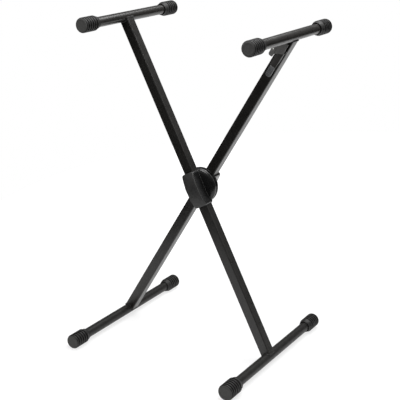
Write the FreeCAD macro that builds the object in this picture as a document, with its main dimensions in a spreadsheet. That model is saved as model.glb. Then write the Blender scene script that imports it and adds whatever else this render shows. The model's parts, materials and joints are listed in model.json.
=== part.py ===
import FreeCAD, Part
import math
import os

import Sketcher

# A folding X-shaped keyboard stand with a squeeze trigger that frees its height lock.
# Frame: X across the scissor, Y along the cross tubes (front is -Y), Z up, floor at Z = 0.
# Each leg has its own frame: x across the leg, y as above, z up along the leg, origin on
# the pivot axis midway between the two legs.

SHEET_NAME = "Sizes"

SIZES = {
    "leg_angle": (29.1, "lean of each leg from the vertical, degrees"),
    "arm_up": (529.0, "pivot to support tube axis"),
    "arm_down": (534.0, "pivot to foot tube axis"),
    "leg_side": (30.0, "square leg tube, outside"),
    "leg_wall": (1.5, "leg tube wall"),
    "leg_corner": (3.0, "leg tube corner radius"),
    "leg_gap": (10.0, "space between the two legs"),
    "cope_rise": (6.0, "how far a leg end laps the cross tube"),
    "tube_radius": (14.3, "cross tube, outside"),
    "tube_wall": (1.6, "cross tube wall"),
    "support_length": (440.0, "upper cross tubes"),
    "foot_length": (543.0, "lower cross tubes"),
    "cap_radius": (21.25, "rubber end cap"),
    "cap_floor": (5.0, "closed end of a cap"),
    "cap_barrel": (52.0, "cylindrical part of a cap"),
    "cap_neck": (9.0, "taper of a cap"),
    "cap_mouth": (4.0, "straight lip of a cap"),
    "cap_lip_wall": (1.3, "wall at the lip of a cap"),
    "cap_flare": (1.8, "space between a cap's lip and the tube"),
    "cap_flare_depth": (9.0, "depth of that space"),
    "cap_edge": (6.0, "rounding of a cap's end face"),
    "cap_chamfer": (0.3, "share of the cap edge cut at its corner"),
    "groove_first": (9.5, "end face to first grip groove"),
    "groove_pitch": (9.3, "grip groove spacing"),
    "groove_width": (3.0, "grip groove width"),
    "groove_depth": (2.2, "grip groove depth"),
    "groove_count": (5, "grip grooves on a cap"),
    "leveller_radius": (23.5, "levelling cap"),
    "leveller_offset": (2.4, "sideways throw of the levelling cap"),
    "running_gap": (0.06, "radial clearance of turning fits"),
    "sliding_gap": (0.3, "clearance between parts that pass each other"),
    "collar_half": (20.0, "half width of a hub collar"),
    "collar_top": (47.0, "hub collar above the pivot"),
    "collar_bottom": (57.0, "hub collar below the pivot"),
    "collar_proud": (4.2, "collar in front of the leg at its ends"),
    "collar_bow": (10.0, "extra depth at the middle of the collar"),
    "collar_corner": (6.0, "rounding of the collar's corners"),
    "fascia_depth": (4.0, "thickness of the hub fascia"),
    "fascia_edge": (1.2, "rounding of the fascia's edge"),
    "drum_radius": (53.0, "hub drum"),
    "drum_rim": (4.6, "straight rim of the drum"),
    "drum_depth": (13.6, "drum from rim face to dome"),
    "drum_crown": (21.0, "flat middle of the dome, radius"),
    "drum_shoulder": (0.18, "share of the dome's fall reached halfway out"),
    "drum_wall": (3.0, "drum rim wall"),
    "drum_split": (2.4, "half of the gap between the drums"),
    "cavity_depth": (1.1, "depth of the drum cavity"),
    "leg_play": (0.2, "clearance of a leg in its collar"),
    "head_pocket": (13.0, "pocket radius for bolt head and nut"),
    "bolt_radius": (5.0, "pivot bolt shank"),
    "bolt_flats": (17.0, "across flats of bolt head and nut"),
    "bolt_head": (6.4, "bolt head height"),
    "bolt_tail": (2.0, "bolt end past the nut"),
    "nut_height": (8.0, "lock nut height"),
    "washer_radius": (10.5, "pivot washers"),
    "washer_depth": (2.0, "pivot washer thickness"),
    "sleeve_radius": (9.0, "spacer sleeve on the bolt"),
    "spacer_radius": (14.0, "spacer and friction washers"),
    "disc_radius": (38.0, "index disc"),
    "disc_depth": (3.0, "index disc thickness"),
    "notch_width": (4.4, "index notch width"),
    "notch_depth": (2.2, "index notch depth"),
    "notch_pitch": (10.0, "angle between notches, degrees"),
    "notches_narrow": (3, "notches on the narrow side of the stored one"),
    "notches_wide": (4, "notches on the wide side of the stored one"),
    "blade_half": (2.0, "half width of the lock blade"),
    "blade_depth": (2.6, "lock blade thickness"),
    "blade_height": (4.5, "lock blade and arm height"),
    "slot_play": (1.5, "clearance round the lock arm in its slots"),
    "lock_travel": (2.2, "how far the rod lifts the lock blade"),
    "rod_radius": (2.5, "pull rod"),
    "guide_length": (14.0, "rod guide blocks"),
    "guide_low": (90.0, "lower rod guide above the pivot"),
    "guide_drop": (50.0, "trigger pin to upper rod guide"),
    "spring_length": (26.0, "return spring"),
    "spring_radius": (5.2, "return spring coil radius"),
    "spring_wire": (0.6, "return spring wire radius"),
    "spring_pitch": (3.2, "return spring pitch"),
    "rod_collar": (6.5, "spring collar radius"),
    "rod_collar_depth": (4.0, "spring collar length"),
    "clevis_fork": (16.5, "depth of the clevis fork"),
    "clevis_half": (6.0, "half width of the rod clevis"),
    "clevis_height": (22.0, "rod clevis height"),
    "trigger_drop": (43.0, "support tube axis to trigger pin, along the leg"),
    "trigger_proud": (6.3, "trigger pin in front of the leg"),
    "trigger_pin": (2.5, "trigger pin radius"),
    "barrel_wall": (2.4, "wall of the lever's pin barrel"),
    "flange_rise": (8.0, "fall of the lever flange behind its web"),
    "lever_half": (9.5, "half width of the trigger lever"),
    "lever_shift": (3.0, "lever to the right of the leg's middle"),
    "lever_sheet": (2.5, "trigger lever metal"),
    "lever_front": (12.3, "lever face in front of the leg"),
    "lever_top": (8.0, "pin to the top of the lever web"),
    "lever_length": (66.0, "pin to the bottom of the lever web"),
    "flange_back": (2.6, "lever flange clear of the leg"),
    "grip_length": (32.0, "thumb tab"),
    "grip_inset": (3.5, "left side of the tab inside the lever's"),
    "grip_skin": (3.0, "thumb tab over the lever web"),
    "grip_back": (1.0, "thumb tab behind the lever web"),
    "grip_lap": (16.0, "lever web inside the thumb tab"),
    "crank_half": (1.5, "half thickness of the crank arm"),
    "crank_height": (8.0, "crank arm height"),
    "crank_pin": (1.8, "crank pin radius"),
    "clip_depth": (1.0, "pin clip thickness"),
    "bracket_sheet": (2.0, "trigger bracket metal"),
    "bracket_front": (16.8, "bracket face in front of the leg"),
    "bracket_right": (13.0, "bracket plate to the right of centre"),
    "bracket_low": (3.0, "bracket plate's right corner below the pin"),
    "bracket_clear": (1.7, "bracket plate to the support tube"),
    "bracket_slant": (15.0, "fall of the plate's lower edge towards the lug"),
    "ear_low": (14.0, "bracket ear below the pin"),
    "ear_back": (13.0, "bracket ear behind the leg face"),
    "ear_round": (6.0, "cut corner of the ear"),
    "lug_left": (24.0, "bracket lug to the left of centre"),
    "lug_right": (10.0, "inner side of the lug"),
    "lug_top": (6.0, "lug's shoulder below the pin"),
    "lug_low": (28.5, "lug's end below the pin"),
    "lug_round": (6.0, "cut corners of the lug"),
    "pin_head": (4.5, "trigger pin head radius"),
    "pin_head_depth": (3.0, "trigger pin head thickness"),
}

HEXAGON_COS = math.cos(math.pi / 6)
OVERCUT = 1.0  # how far a cutting shape runs past the face it leaves by


class Size:
    """A number together with the sheet expression that gives it."""

    def __init__(self, value, text):
        self.value = float(value)
        self.text = text

    def __add__(self, other):
        return combine(self, other, "+")

    def __radd__(self, other):
        return combine(other, self, "+")

    def __sub__(self, other):
        return combine(self, other, "-")

    def __rsub__(self, other):
        return combine(other, self, "-")

    def __mul__(self, other):
        return combine(self, other, "*")

    def __rmul__(self, other):
        return combine(other, self, "*")

    def __truediv__(self, other):
        return combine(self, other, "/")

    def __neg__(self):
        return Size(-self.value, "(0 - " + self.text + ")")


def sized(item):
    """Return a Size for a number or a Size."""
    if isinstance(item, Size):
        return item
    return Size(item, "(" + repr(float(item)) + ")")


def combine(first, second, sign):
    """Join two sizes with an arithmetic sign."""
    left = sized(first)
    right = sized(second)
    values = {
        "+": left.value + right.value,
        "-": left.value - right.value,
        "*": left.value * right.value,
        "/": left.value / right.value if right.value else 0.0,
    }
    return Size(values[sign], "(" + left.text + " " + sign + " " + right.text + ")")


def cosine(angle):
    return Size(math.cos(math.radians(angle.value)), "cos(" + angle.text + " * 1deg)")


def sine(angle):
    return Size(math.sin(math.radians(angle.value)), "sin(" + angle.text + " * 1deg)")


def make_sheet(doc):
    """Write the driving sizes into the document's spreadsheet."""
    sheet = doc.addObject("Spreadsheet::Sheet", SHEET_NAME)
    for row, (alias, (value, note)) in enumerate(SIZES.items(), start=1):
        sheet.set("A" + str(row), alias)
        sheet.set("B" + str(row), str(value))
        sheet.setAlias("B" + str(row), alias)
        sheet.set("C" + str(row), note)
    doc.recompute()
    return sheet


class Names:
    """Give each named size of the sheet as an attribute, and two heights that follow."""

    def __init__(self, sheet):
        for alias in SIZES:
            setattr(self, alias, Size(sheet.get(alias), SHEET_NAME + "." + alias))
        self.trigger_height = self.arm_up - self.trigger_drop
        self.guide_high = self.trigger_height - self.guide_drop


def bind(thing, prop, size):
    """Tie one property to a size."""
    thing.setExpression(prop, sized(size).text)


def origin_plane(body, role):
    for feature in body.Origin.OriginFeatures:
        if feature.Role == role:
            return feature
    raise ValueError("no plane " + role)


def new_body(doc, label):
    body = doc.addObject("PartDesign::Body", label)
    body.Label = label
    return body


def new_sketch(body, role, start):
    """Attach a sketch to an origin plane, moved along its normal by start."""
    sketch = body.newObject("Sketcher::SketchObject", body.Name + "_sketch")
    sketch.AttachmentSupport = [(origin_plane(body, role), "")]
    sketch.MapMode = "FlatFace"
    sketch.AttachmentOffset = FreeCAD.Placement(FreeCAD.Vector(0, 0, sized(start).value), FreeCAD.Rotation())
    bind(sketch, "AttachmentOffset.Base.z", start)
    return sketch


def tie_coordinate(sketch, geometry, end, kind, axis, size):
    """Fix one coordinate of a point to a size, or to the axis when it is zero."""
    if not isinstance(size, Size) and size == 0:
        sketch.addConstraint(Sketcher.Constraint("PointOnObject", geometry, end, axis))
        return
    size = sized(size)
    number = sketch.addConstraint(Sketcher.Constraint(kind, -1, 1, geometry, end, size.value))
    bind(sketch, "Constraints[" + str(number) + "]", size)


def tie_point(sketch, geometry, end, point):
    tie_coordinate(sketch, geometry, end, "DistanceX", -2, point[0])
    tie_coordinate(sketch, geometry, end, "DistanceY", -1, point[1])


def vector(point):
    return FreeCAD.Vector(sized(point[0]).value, sized(point[1]).value, 0)


def draw_polygon(sketch, points):
    """Draw a closed chain of lines with every corner tied to its sizes."""
    first = sketch.GeometryCount
    count = len(points)
    for index in range(count):
        line = Part.LineSegment(vector(points[index]), vector(points[(index + 1) % count]))
        sketch.addGeometry(line, False)
    for index in range(count):
        following = first + (index + 1) % count
        sketch.addConstraint(Sketcher.Constraint("Coincident", first + index, 2, following, 1))
    for index in range(count):
        tie_point(sketch, first + index, 1, points[index])


def draw_circle(sketch, centre, radius):
    """Draw a circle with its centre and radius tied to sizes."""
    radius = sized(radius)
    number = sketch.addGeometry(Part.Circle(vector(centre), FreeCAD.Vector(0, 0, 1), radius.value), False)
    tie_point(sketch, number, 3, centre)
    constraint = sketch.addConstraint(Sketcher.Constraint("Radius", number, radius.value))
    bind(sketch, "Constraints[" + str(constraint) + "]", radius)


def draw_bowed(sketch, low, high, deep, flat, bow):
    """Draw a strip between two y values whose outer long side is an arc.

    The strip runs along the sketch's second axis from low to high. Its straight side is
    at flat and the ends of its arc are at deep; the arc stands out by bow at its middle.
    """
    chord = high - low
    radius = (chord * chord / 4 + bow * bow) / (bow * 2)
    middle = (high + low) / 2
    centre_x = deep - bow + radius
    lines = (((deep, low), (flat, low)), ((flat, low), (flat, high)), ((flat, high), (deep, high)))
    for start, end in lines:
        sketch.addGeometry(Part.LineSegment(vector(start), vector(end)), False)
    arc = Part.Arc(vector((deep, high)), vector((deep - bow, middle)), vector((deep, low)))
    sketch.addGeometry(arc, False)
    sketch.addConstraint(Sketcher.Constraint("Coincident", 0, 2, 1, 1))
    sketch.addConstraint(Sketcher.Constraint("Coincident", 1, 2, 2, 1))
    centre_end = 3
    ends = ((1, 2), (2, 1))
    if (sketch.Geometry[3].StartPoint - vector((deep, high))).Length > 0.001:
        ends = ((2, 1), (1, 2))
    sketch.addConstraint(Sketcher.Constraint("Coincident", 2, 2, 3, ends[0][0]))
    sketch.addConstraint(Sketcher.Constraint("Coincident", 0, 1, 3, ends[1][0]))
    tie_point(sketch, 0, 1, (deep, low))
    tie_point(sketch, 1, 1, (flat, low))
    tie_point(sketch, 2, 1, (flat, high))
    tie_coordinate(sketch, 2, 2, "DistanceX", -2, deep)
    tie_coordinate(sketch, 2, 2, "DistanceY", -1, high)
    tie_coordinate(sketch, 3, centre_end, "DistanceX", -2, centre_x)


ROLES = {"X": "YZ_Plane", "Y": "XZ_Plane", "Z": "XY_Plane"}


def start_and_length(axis, low, high):
    """Return the sketch offset and the length that fill low to high along an axis."""
    if axis == "Y":
        return -sized(high), sized(high) - low
    return sized(low), sized(high) - low


def add_block(body, axis, low, high, draw):
    """Pad what draw makes, from low to high along one axis of the body."""
    start, length = start_and_length(axis, low, high)
    sketch = new_sketch(body, ROLES[axis], start)
    draw(sketch)
    pad = body.newObject("PartDesign::Pad", body.Name + "_pad")
    pad.Profile = sketch
    pad.Length = length.value
    bind(pad, "Length", length)
    body.Document.recompute()
    return pad


def cut_block(body, axis, low, high, draw):
    """Cut what draw makes out of the body, from low to high along one axis."""
    before = body.Shape.Volume
    start, length = start_and_length(axis, low, high)
    sketch = new_sketch(body, ROLES[axis], start)
    draw(sketch)
    pocket = body.newObject("PartDesign::Pocket", body.Name + "_pocket")
    pocket.Profile = sketch
    pocket.Reversed = True
    pocket.Length = length.value
    bind(pocket, "Length", length)
    body.Document.recompute()
    if not body.Shape.Volume < before:
        raise ValueError(body.Label + ": a pocket cut nothing")
    return pocket


def cut_through(body, axis, low, high, draw):
    """Cut from low to high and a little past both."""
    return cut_block(body, axis, low - OVERCUT, high + OVERCUT, draw)


def add_turned(body, points):
    """Turn a profile of (radius, y) points about the body's y axis."""
    sketch = new_sketch(body, "XY_Plane", 0)
    draw_polygon(sketch, points)
    turned = body.newObject("PartDesign::Revolution", body.Name + "_turned")
    turned.Profile = sketch
    turned.ReferenceAxis = (sketch, ["V_Axis"])
    turned.Angle = 360
    body.Document.recompute()
    return turned


def cut_turned(body, points):
    """Cut a turned profile out of the body."""
    before = body.Shape.Volume
    sketch = new_sketch(body, "XY_Plane", 0)
    draw_polygon(sketch, points)
    groove = body.newObject("PartDesign::Groove", body.Name + "_groove")
    groove.Profile = sketch
    groove.ReferenceAxis = (sketch, ["V_Axis"])
    groove.Angle = 360
    body.Document.recompute()
    if not body.Shape.Volume < before:
        raise ValueError(body.Label + ": a groove cut nothing")
    return groove


def round_edges(body, radius, wanted):
    """Fillet the edges of the body that wanted accepts."""
    base = body.Tip
    names = []
    for index, edge in enumerate(base.Shape.Edges, start=1):
        if wanted(edge):
            names.append("Edge" + str(index))
    fillet = body.newObject("PartDesign::Fillet", body.Name + "_fillet")
    fillet.Base = (base, names)
    fillet.Radius = radius.value
    bind(fillet, "Radius", radius)
    body.Document.recompute()
    return fillet


def is_line_along(edge, axis):
    """Tell whether an edge is straight and parallel to an axis vector."""
    if not isinstance(edge.Curve, Part.Line):
        return False
    return abs(abs(edge.tangentAt(edge.FirstParameter).dot(axis)) - 1) < 1e-6


def rectangle(low_x, high_x, low_y, high_y):
    """Return a drawing function for a rectangle."""
    corners = [(low_x, low_y), (high_x, low_y), (high_x, high_y), (low_x, high_y)]
    return lambda sketch: draw_polygon(sketch, corners)


def polygon(points):
    return lambda sketch: draw_polygon(sketch, points)


def circle(centre, radius):
    return lambda sketch: draw_circle(sketch, centre, radius)


def hexagon(flats):
    """Return a drawing function for a hexagon with the given distance across flats."""
    corner = flats / (2 * HEXAGON_COS)
    half = flats / 2
    points = [(corner, 0), (corner / 2, half), (-corner / 2, half)]
    points += [(-corner, 0), (-corner / 2, -half), (corner / 2, -half)]
    return polygon(points)


class Stand:
    """Builds every piece of the stand in one document."""

    def __init__(self, doc, names):
        self.doc = doc
        self.n = names
        self.pieces = []

    # ---- places -------------------------------------------------------------

    def pivot_height(self):
        n = self.n
        return n.cap_radius + n.arm_down * cosine(n.leg_angle)

    def place(self, body, side, base=(0, 0, 0), turned=False):
        """Put a piece in the frame of the front (-1) or rear (1) leg."""
        n = self.n
        spots = [sized(item).text for item in base]
        lean = "rotation(vector(0; 1; 0); " + (n.leg_angle * side).text + ")"
        half_turn = "rotation(vector(0; 0; 1); " + ("180" if turned else "0") + ")"
        frame = "placement(vector(0; 0; " + self.pivot_height().text + "); " + lean + ")"
        spot = "placement(vector(" + "; ".join(spots) + "); " + half_turn + ")"
        body.setExpression("Placement", frame + " * " + spot)
        self.pieces.append(body)
        return body

    def leg_middle(self, side):
        n = self.n
        return (n.leg_gap / 2 + n.leg_side / 2) * side

    def leg_face(self):
        """Distance of a leg's outer face from the middle of the hub."""
        return self.n.leg_gap / 2 + self.n.leg_side

    def front_of_rear_leg(self):
        return self.n.leg_gap / 2

    # ---- tubes and caps -----------------------------------------------------

    def leg(self, label, side):
        """One square leg tube, coped onto its two cross tubes."""
        n = self.n
        body = new_body(self.doc, label)
        middle = self.leg_middle(side)
        half = n.leg_side / 2
        inner = half - n.leg_wall
        bottom = -(n.arm_down - n.tube_radius + n.cope_rise)
        top = n.arm_up - n.tube_radius + n.cope_rise
        add_block(body, "Z", bottom, top, rectangle(-half, half, middle - half, middle + half))
        round_edges(body, n.leg_corner, lambda edge: is_line_along(edge, FreeCAD.Vector(0, 0, 1)))
        cut_through(body, "Z", bottom, top, rectangle(-inner, inner, middle - inner, middle + inner))
        front = middle - half
        back = middle + half
        cut_through(body, "Y", front, back, circle((0, n.arm_up), n.tube_radius))
        cut_through(body, "Y", front, back, circle((0, -n.arm_down), n.tube_radius))
        clearance = n.running_gap if side > 0 else 0
        cut_through(body, "Y", front, back, circle((0, 0), n.bolt_radius + clearance))
        if side > 0:
            self.cut_trigger_slots(body)
        return self.place(body, side)

    def cut_trigger_slots(self, body):
        """Openings in the rear leg for the lock arm and for the crank arm."""
        n = self.n
        face = self.front_of_rear_leg()
        low = self.blade_low() - n.slot_play
        high = self.blade_low() + n.blade_height + n.lock_travel + n.slot_play
        half = n.blade_half + n.slot_play
        cut_through(body, "Y", face, face + n.leg_wall, rectangle(-half, half, low, high))
        half = n.crank_half + n.slot_play
        low = n.trigger_height - n.crank_height / 2 - n.lock_travel
        high = n.trigger_height + n.crank_height / 2 + n.lock_travel * 2
        cut_through(body, "Y", face, face + n.leg_wall, rectangle(-half, half, low, high))

    def cross_tube(self, label, side, along, length):
        """One round tube welded across a leg end."""
        n = self.n
        body = new_body(self.doc, label)
        add_block(body, "Y", -length / 2, length / 2, circle((0, 0), n.tube_radius))
        cut_through(body, "Y", -length / 2, length / 2, circle((0, 0), n.tube_radius - n.tube_wall))
        return self.place(body, side, (0, 0, along))

    def cap_profile(self, radius, lip, bore):
        """Half section of an end cap, closed end at y = 0; bore None leaves it solid."""
        n = self.n
        full = n.cap_barrel + n.cap_neck + n.cap_mouth
        corner = n.cap_edge * n.cap_chamfer
        points = [(0, 0), (radius - n.cap_edge, 0), (radius - corner, corner)]
        points += [(radius, n.cap_edge)]
        for index in range(int(n.groove_count.value)):
            centre = n.groove_first + n.groove_pitch * index
            points += [(radius, centre - n.groove_width / 2)]
            points += [(radius - n.groove_depth, centre - n.groove_width / 4)]
            points += [(radius - n.groove_depth, centre + n.groove_width / 4)]
            points += [(radius, centre + n.groove_width / 2)]
        points += [(radius, n.cap_barrel), (lip, n.cap_barrel + n.cap_neck), (lip, full)]
        if bore is not None:
            flare = bore + n.cap_flare
            points += [(flare, full), (flare, full - n.cap_flare_depth), (bore, full - n.cap_flare_depth)]
            points += [(bore, n.cap_floor), (0, n.cap_floor)]
        else:
            points += [(0, full)]
        return points

    def end_cap(self, label, side, along, half_length, end):
        """A grooved rubber cap pushed on a cross tube's end (end is -1 front, 1 rear)."""
        n = self.n
        body = new_body(self.doc, label)
        lip = n.tube_radius + n.cap_flare + n.cap_lip_wall
        add_turned(body, self.cap_profile(n.cap_radius, lip, n.tube_radius))
        reach = (half_length + n.cap_floor) * end
        return self.place(body, side, (0, reach, along), turned=end > 0)

    def levelling_cap(self, label, along, half_length):
        """A larger cap whose outside is off centre, so turning it levels the stand."""
        n = self.n
        body = new_body(self.doc, label)
        rise = n.leveller_radius - n.cap_radius
        lip = n.tube_radius + n.leveller_offset + n.cap_flare + n.cap_lip_wall
        add_turned(body, self.cap_profile(n.leveller_radius, lip, None))
        full = n.cap_barrel + n.cap_neck + n.cap_mouth
        bore = n.tube_radius + n.running_gap
        floor = n.cap_floor + n.sliding_gap
        cut_block(body, "Y", floor, full + OVERCUT, circle((-n.leveller_offset, -rise), bore))
        lean = cosine(n.leg_angle)
        foot_x = along * sine(n.leg_angle)
        base = [foot_x + n.leveller_offset, -(half_length + n.cap_floor + n.sliding_gap)]
        base += [self.pivot_height() - along * lean + rise]
        texts = "; ".join(sized(item).text for item in base)
        body.setExpression("Placement", "placement(vector(" + texts + "); rotation(vector(0; 0; 1); 0))")
        self.pieces.append(body)
        return body

    # ---- hub ----------------------------------------------------------------

    def hub_cover(self, label, side):
        """Moulded hub half: a collar round the leg and a domed drum facing the other half."""
        n = self.n
        body = new_body(self.doc, label)
        face = self.leg_face()
        half = n.collar_half
        arc_ends = -(face + n.collar_proud)

        def outline(sketch):
            draw_bowed(sketch, -n.collar_bottom, n.collar_top, arc_ends, -n.leg_gap / 2, n.collar_bow)

        add_block(body, "X", -half, half, outline)
        round_edges(body, n.collar_corner, lambda edge: is_line_along(edge, FreeCAD.Vector(0, 1, 0)))
        split = n.drum_split
        dome = -(n.drum_depth + split)
        rim = -(split + n.drum_rim)
        shoulder = (n.drum_radius + n.drum_crown) / 2
        waist = (n.drum_radius * 3 + n.drum_crown) / 4
        points = [(0, -split), (0, dome), (n.drum_crown, dome)]
        points += [(shoulder, dome + (rim - dome) * n.drum_shoulder), (waist, (dome + rim) / 2)]
        points += [(n.drum_radius, rim), (n.drum_radius, -split)]
        add_turned(body, points)
        cavity = n.drum_radius - n.drum_wall
        floor = -(split + n.cavity_depth)
        cut_turned(body, [(0, 0), (0, floor), (cavity, floor), (cavity, 0)])
        channel = n.leg_side / 2 + n.leg_play
        reach = n.drum_radius + n.collar_bottom
        cut_block(body, "Z", -reach, reach,
                  rectangle(-channel, channel, -(face + n.leg_play), -(n.leg_gap / 2) + n.leg_play))
        front = -(face + n.collar_proud + n.collar_bow)
        cut_block(body, "Y", front - OVERCUT, -face, circle((0, 0), n.head_pocket))
        cut_block(body, "Y", -face, 0, circle((0, 0), n.spacer_radius + n.sliding_gap))
        if side > 0:
            low = self.blade_low() - n.slot_play
            high = self.blade_low() + n.blade_height + n.lock_travel + n.slot_play
            slot = n.blade_half + n.slot_play
            cut_through(body, "Y", -n.leg_gap / 2, floor, rectangle(-slot, slot, low, high))
        return self.place(body, side, turned=side > 0)

    def hub_fascia(self, label, side):
        """Textured bowed plate that closes the front of a hub collar."""
        n = self.n
        body = new_body(self.doc, label)
        half = n.collar_half
        arc_ends = -(self.leg_face() + n.collar_proud)

        def outer(sketch):
            draw_bowed(sketch, -n.collar_bottom, n.collar_top, arc_ends - n.fascia_depth,
                       arc_ends + OVERCUT, n.collar_bow)

        def inner(sketch):
            draw_bowed(sketch, -n.collar_bottom, n.collar_top, arc_ends, arc_ends + OVERCUT * 2,
                       n.collar_bow)

        add_block(body, "X", -half, half, outer)
        round_edges(body, n.collar_corner, lambda edge: is_line_along(edge, FreeCAD.Vector(0, 1, 0)))
        cut_through(body, "X", -half, half, inner)
        return self.place(body, side, turned=side > 0)

    def ring(self, label, side, outer, bore, low, high):
        """A washer, spacer or sleeve on the pivot axis."""
        body = new_body(self.doc, label)
        add_block(body, "Y", low, high, circle((0, 0), outer))
        cut_through(body, "Y", sized(low), sized(high), circle((0, 0), bore))
        return self.place(body, side)

    def pivot_stack(self):
        """Bolt, washers, sleeve, spacers and lock nut on the pivot axis."""
        n = self.n
        face = self.leg_face()
        gap = n.leg_gap / 2
        play = n.sliding_gap
        head_face = -(face + n.washer_depth)
        tail_face = face + play + n.washer_depth
        bolt = new_body(self.doc, "pivot_bolt")
        add_block(bolt, "Y", head_face - n.bolt_head, head_face, hexagon(n.bolt_flats))
        bolt_end = tail_face + n.nut_height + n.bolt_tail
        add_block(bolt, "Y", head_face, bolt_end, circle((0, 0), n.bolt_radius))
        self.place(bolt, -1)
        self.ring("washer_front", -1, n.washer_radius, n.bolt_radius, head_face, -face)
        self.ring("washer_rear", -1, n.washer_radius, n.bolt_radius, face + play, tail_face)
        nut = new_body(self.doc, "pivot_nut")
        add_block(nut, "Y", tail_face, tail_face + n.nut_height, hexagon(n.bolt_flats))
        cut_through(nut, "Y", tail_face, tail_face + n.nut_height, circle((0, 0), n.bolt_radius))
        self.place(nut, -1)
        self.ring("pivot_sleeve", -1, n.sleeve_radius, n.bolt_radius, -gap, gap - play)
        self.ring("disc_spacer", -1, n.spacer_radius, n.sleeve_radius, -gap, -n.disc_depth / 2)
        self.ring("friction_washer", 1, n.spacer_radius, n.sleeve_radius + n.running_gap,
                  n.disc_depth / 2 + play, gap)

    def index_disc(self):
        """Notched steel disc fixed to the front leg; a notch for each height setting."""
        n = self.n
        body = new_body(self.doc, "index_disc")
        half = n.disc_depth / 2
        add_block(body, "Y", -half, half, circle((0, 0), n.disc_radius))
        cut_through(body, "Y", -half, half, circle((0, 0), n.sleeve_radius))
        narrow = int(n.notches_narrow.value)
        wide = int(n.notches_wide.value)
        for step in range(-narrow, wide + 1):
            self.cut_notch(body, n.leg_angle * 2 + n.notch_pitch * step)
        return self.place(body, -1)

    def cut_notch(self, body, angle):
        """Cut one notch at an angle from the leg, towards +x."""
        n = self.n
        inner = n.disc_radius - n.notch_depth
        outer = n.disc_radius + OVERCUT
        half = n.notch_width / 2
        along_x = sine(angle)
        along_z = cosine(angle)
        corners = []
        for reach, shift in ((inner, -half), (outer, -half), (outer, half), (inner, half)):
            corners.append((reach * along_x + shift * along_z, reach * along_z - shift * along_x))
        cut_through(body, "Y", -n.disc_depth / 2, n.disc_depth / 2, polygon(corners))

    # ---- lock ---------------------------------------------------------------

    def blade_low(self):
        return self.n.disc_radius + self.n.sliding_gap

    def rod_y(self):
        return self.leg_middle(1)

    def lock_blade(self):
        """Blade in the plane of the index disc, with an arm into the rear leg."""
        n = self.n
        body = new_body(self.doc, "lock_blade")
        half = n.blade_depth / 2
        low = self.blade_low()
        back = self.rod_y() + n.rod_radius + n.leg_wall
        add_block(body, "X", -n.blade_half, n.blade_half, rectangle(-half, back, low, low + n.blade_height))
        boss = n.rod_radius + n.leg_wall
        add_block(body, "Z", low, low + n.blade_height, circle((0, self.rod_y()), boss))
        cut_through(body, "Z", low, low + n.blade_height, circle((0, self.rod_y()), n.rod_radius))
        return self.place(body, 1)

    def pull_rod(self):
        n = self.n
        body = new_body(self.doc, "pull_rod")
        add_block(body, "Z", self.blade_low(), self.fork_floor(), circle((0, self.rod_y()), n.rod_radius))
        return self.place(body, 1)

    def fork_floor(self):
        """Height of the bottom of the clevis fork, where the pull rod ends."""
        n = self.n
        return n.trigger_height + n.clevis_height / 2 - n.clevis_fork

    def rod_clevis(self):
        """Forked end of the pull rod, round the crank arm and its pin."""
        n = self.n
        body = new_body(self.doc, "rod_clevis")
        half = n.clevis_half
        middle = self.rod_y()
        low = n.trigger_height - n.clevis_height / 2
        high = n.trigger_height + n.clevis_height / 2
        add_block(body, "Z", low, high, rectangle(-half, half, middle - half, middle + half))
        slot = n.crank_half + n.sliding_gap
        floor = self.fork_floor()
        fork = rectangle(-slot, slot, middle - half - OVERCUT, middle + half + OVERCUT)
        cut_block(body, "Z", floor, high + OVERCUT, fork)
        hole = n.crank_pin + n.sliding_gap
        cut_through(body, "X", -half, half, circle((middle, n.trigger_height), hole))
        cut_through(body, "Z", low, floor, circle((0, middle), n.rod_radius))
        return self.place(body, 1)

    def spring_collar(self):
        n = self.n
        body = new_body(self.doc, "spring_collar")
        high = self.spring_low() - n.lock_travel - n.sliding_gap
        low = high - n.rod_collar_depth
        add_block(body, "Z", low, high, circle((0, self.rod_y()), n.rod_collar))
        cut_through(body, "Z", low, high, circle((0, self.rod_y()), n.rod_radius))
        return self.place(body, 1)

    def spring_low(self):
        return self.n.guide_high - self.n.sliding_gap - self.n.spring_length

    def return_spring(self):
        """Coil spring round the pull rod, under the upper guide."""
        n = self.n
        body = new_body(self.doc, "return_spring")
        sketch = new_sketch(body, "XZ_Plane", 0)
        draw_circle(sketch, (n.spring_radius, n.spring_wire), n.spring_wire)
        coil = body.newObject("PartDesign::AdditiveHelix", "spring_coil")
        coil.Profile = sketch
        coil.ReferenceAxis = (sketch, ["V_Axis"])
        coil.Mode = 0
        height = n.spring_length - n.spring_wire * 2
        coil.Pitch = n.spring_pitch.value
        coil.Height = height.value
        bind(coil, "Pitch", n.spring_pitch)
        bind(coil, "Height", height)
        self.doc.recompute()
        return self.place(body, 1, (0, self.rod_y(), self.spring_low()))

    def rod_guide(self, label, low):
        """Nylon block that guides the pull rod inside the rear leg."""
        n = self.n
        body = new_body(self.doc, label)
        half = n.leg_side / 2 - n.leg_wall - n.leg_play
        middle = self.rod_y()
        add_block(body, "Z", low, low + n.guide_length, rectangle(-half, half, middle - half, middle + half))
        bore = n.rod_radius + n.running_gap
        cut_through(body, "Z", low, low + n.guide_length, circle((0, middle), bore))
        return self.place(body, 1)

    # ---- trigger ------------------------------------------------------------

    def pin_y(self):
        return self.front_of_rear_leg() - self.n.trigger_proud

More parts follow.
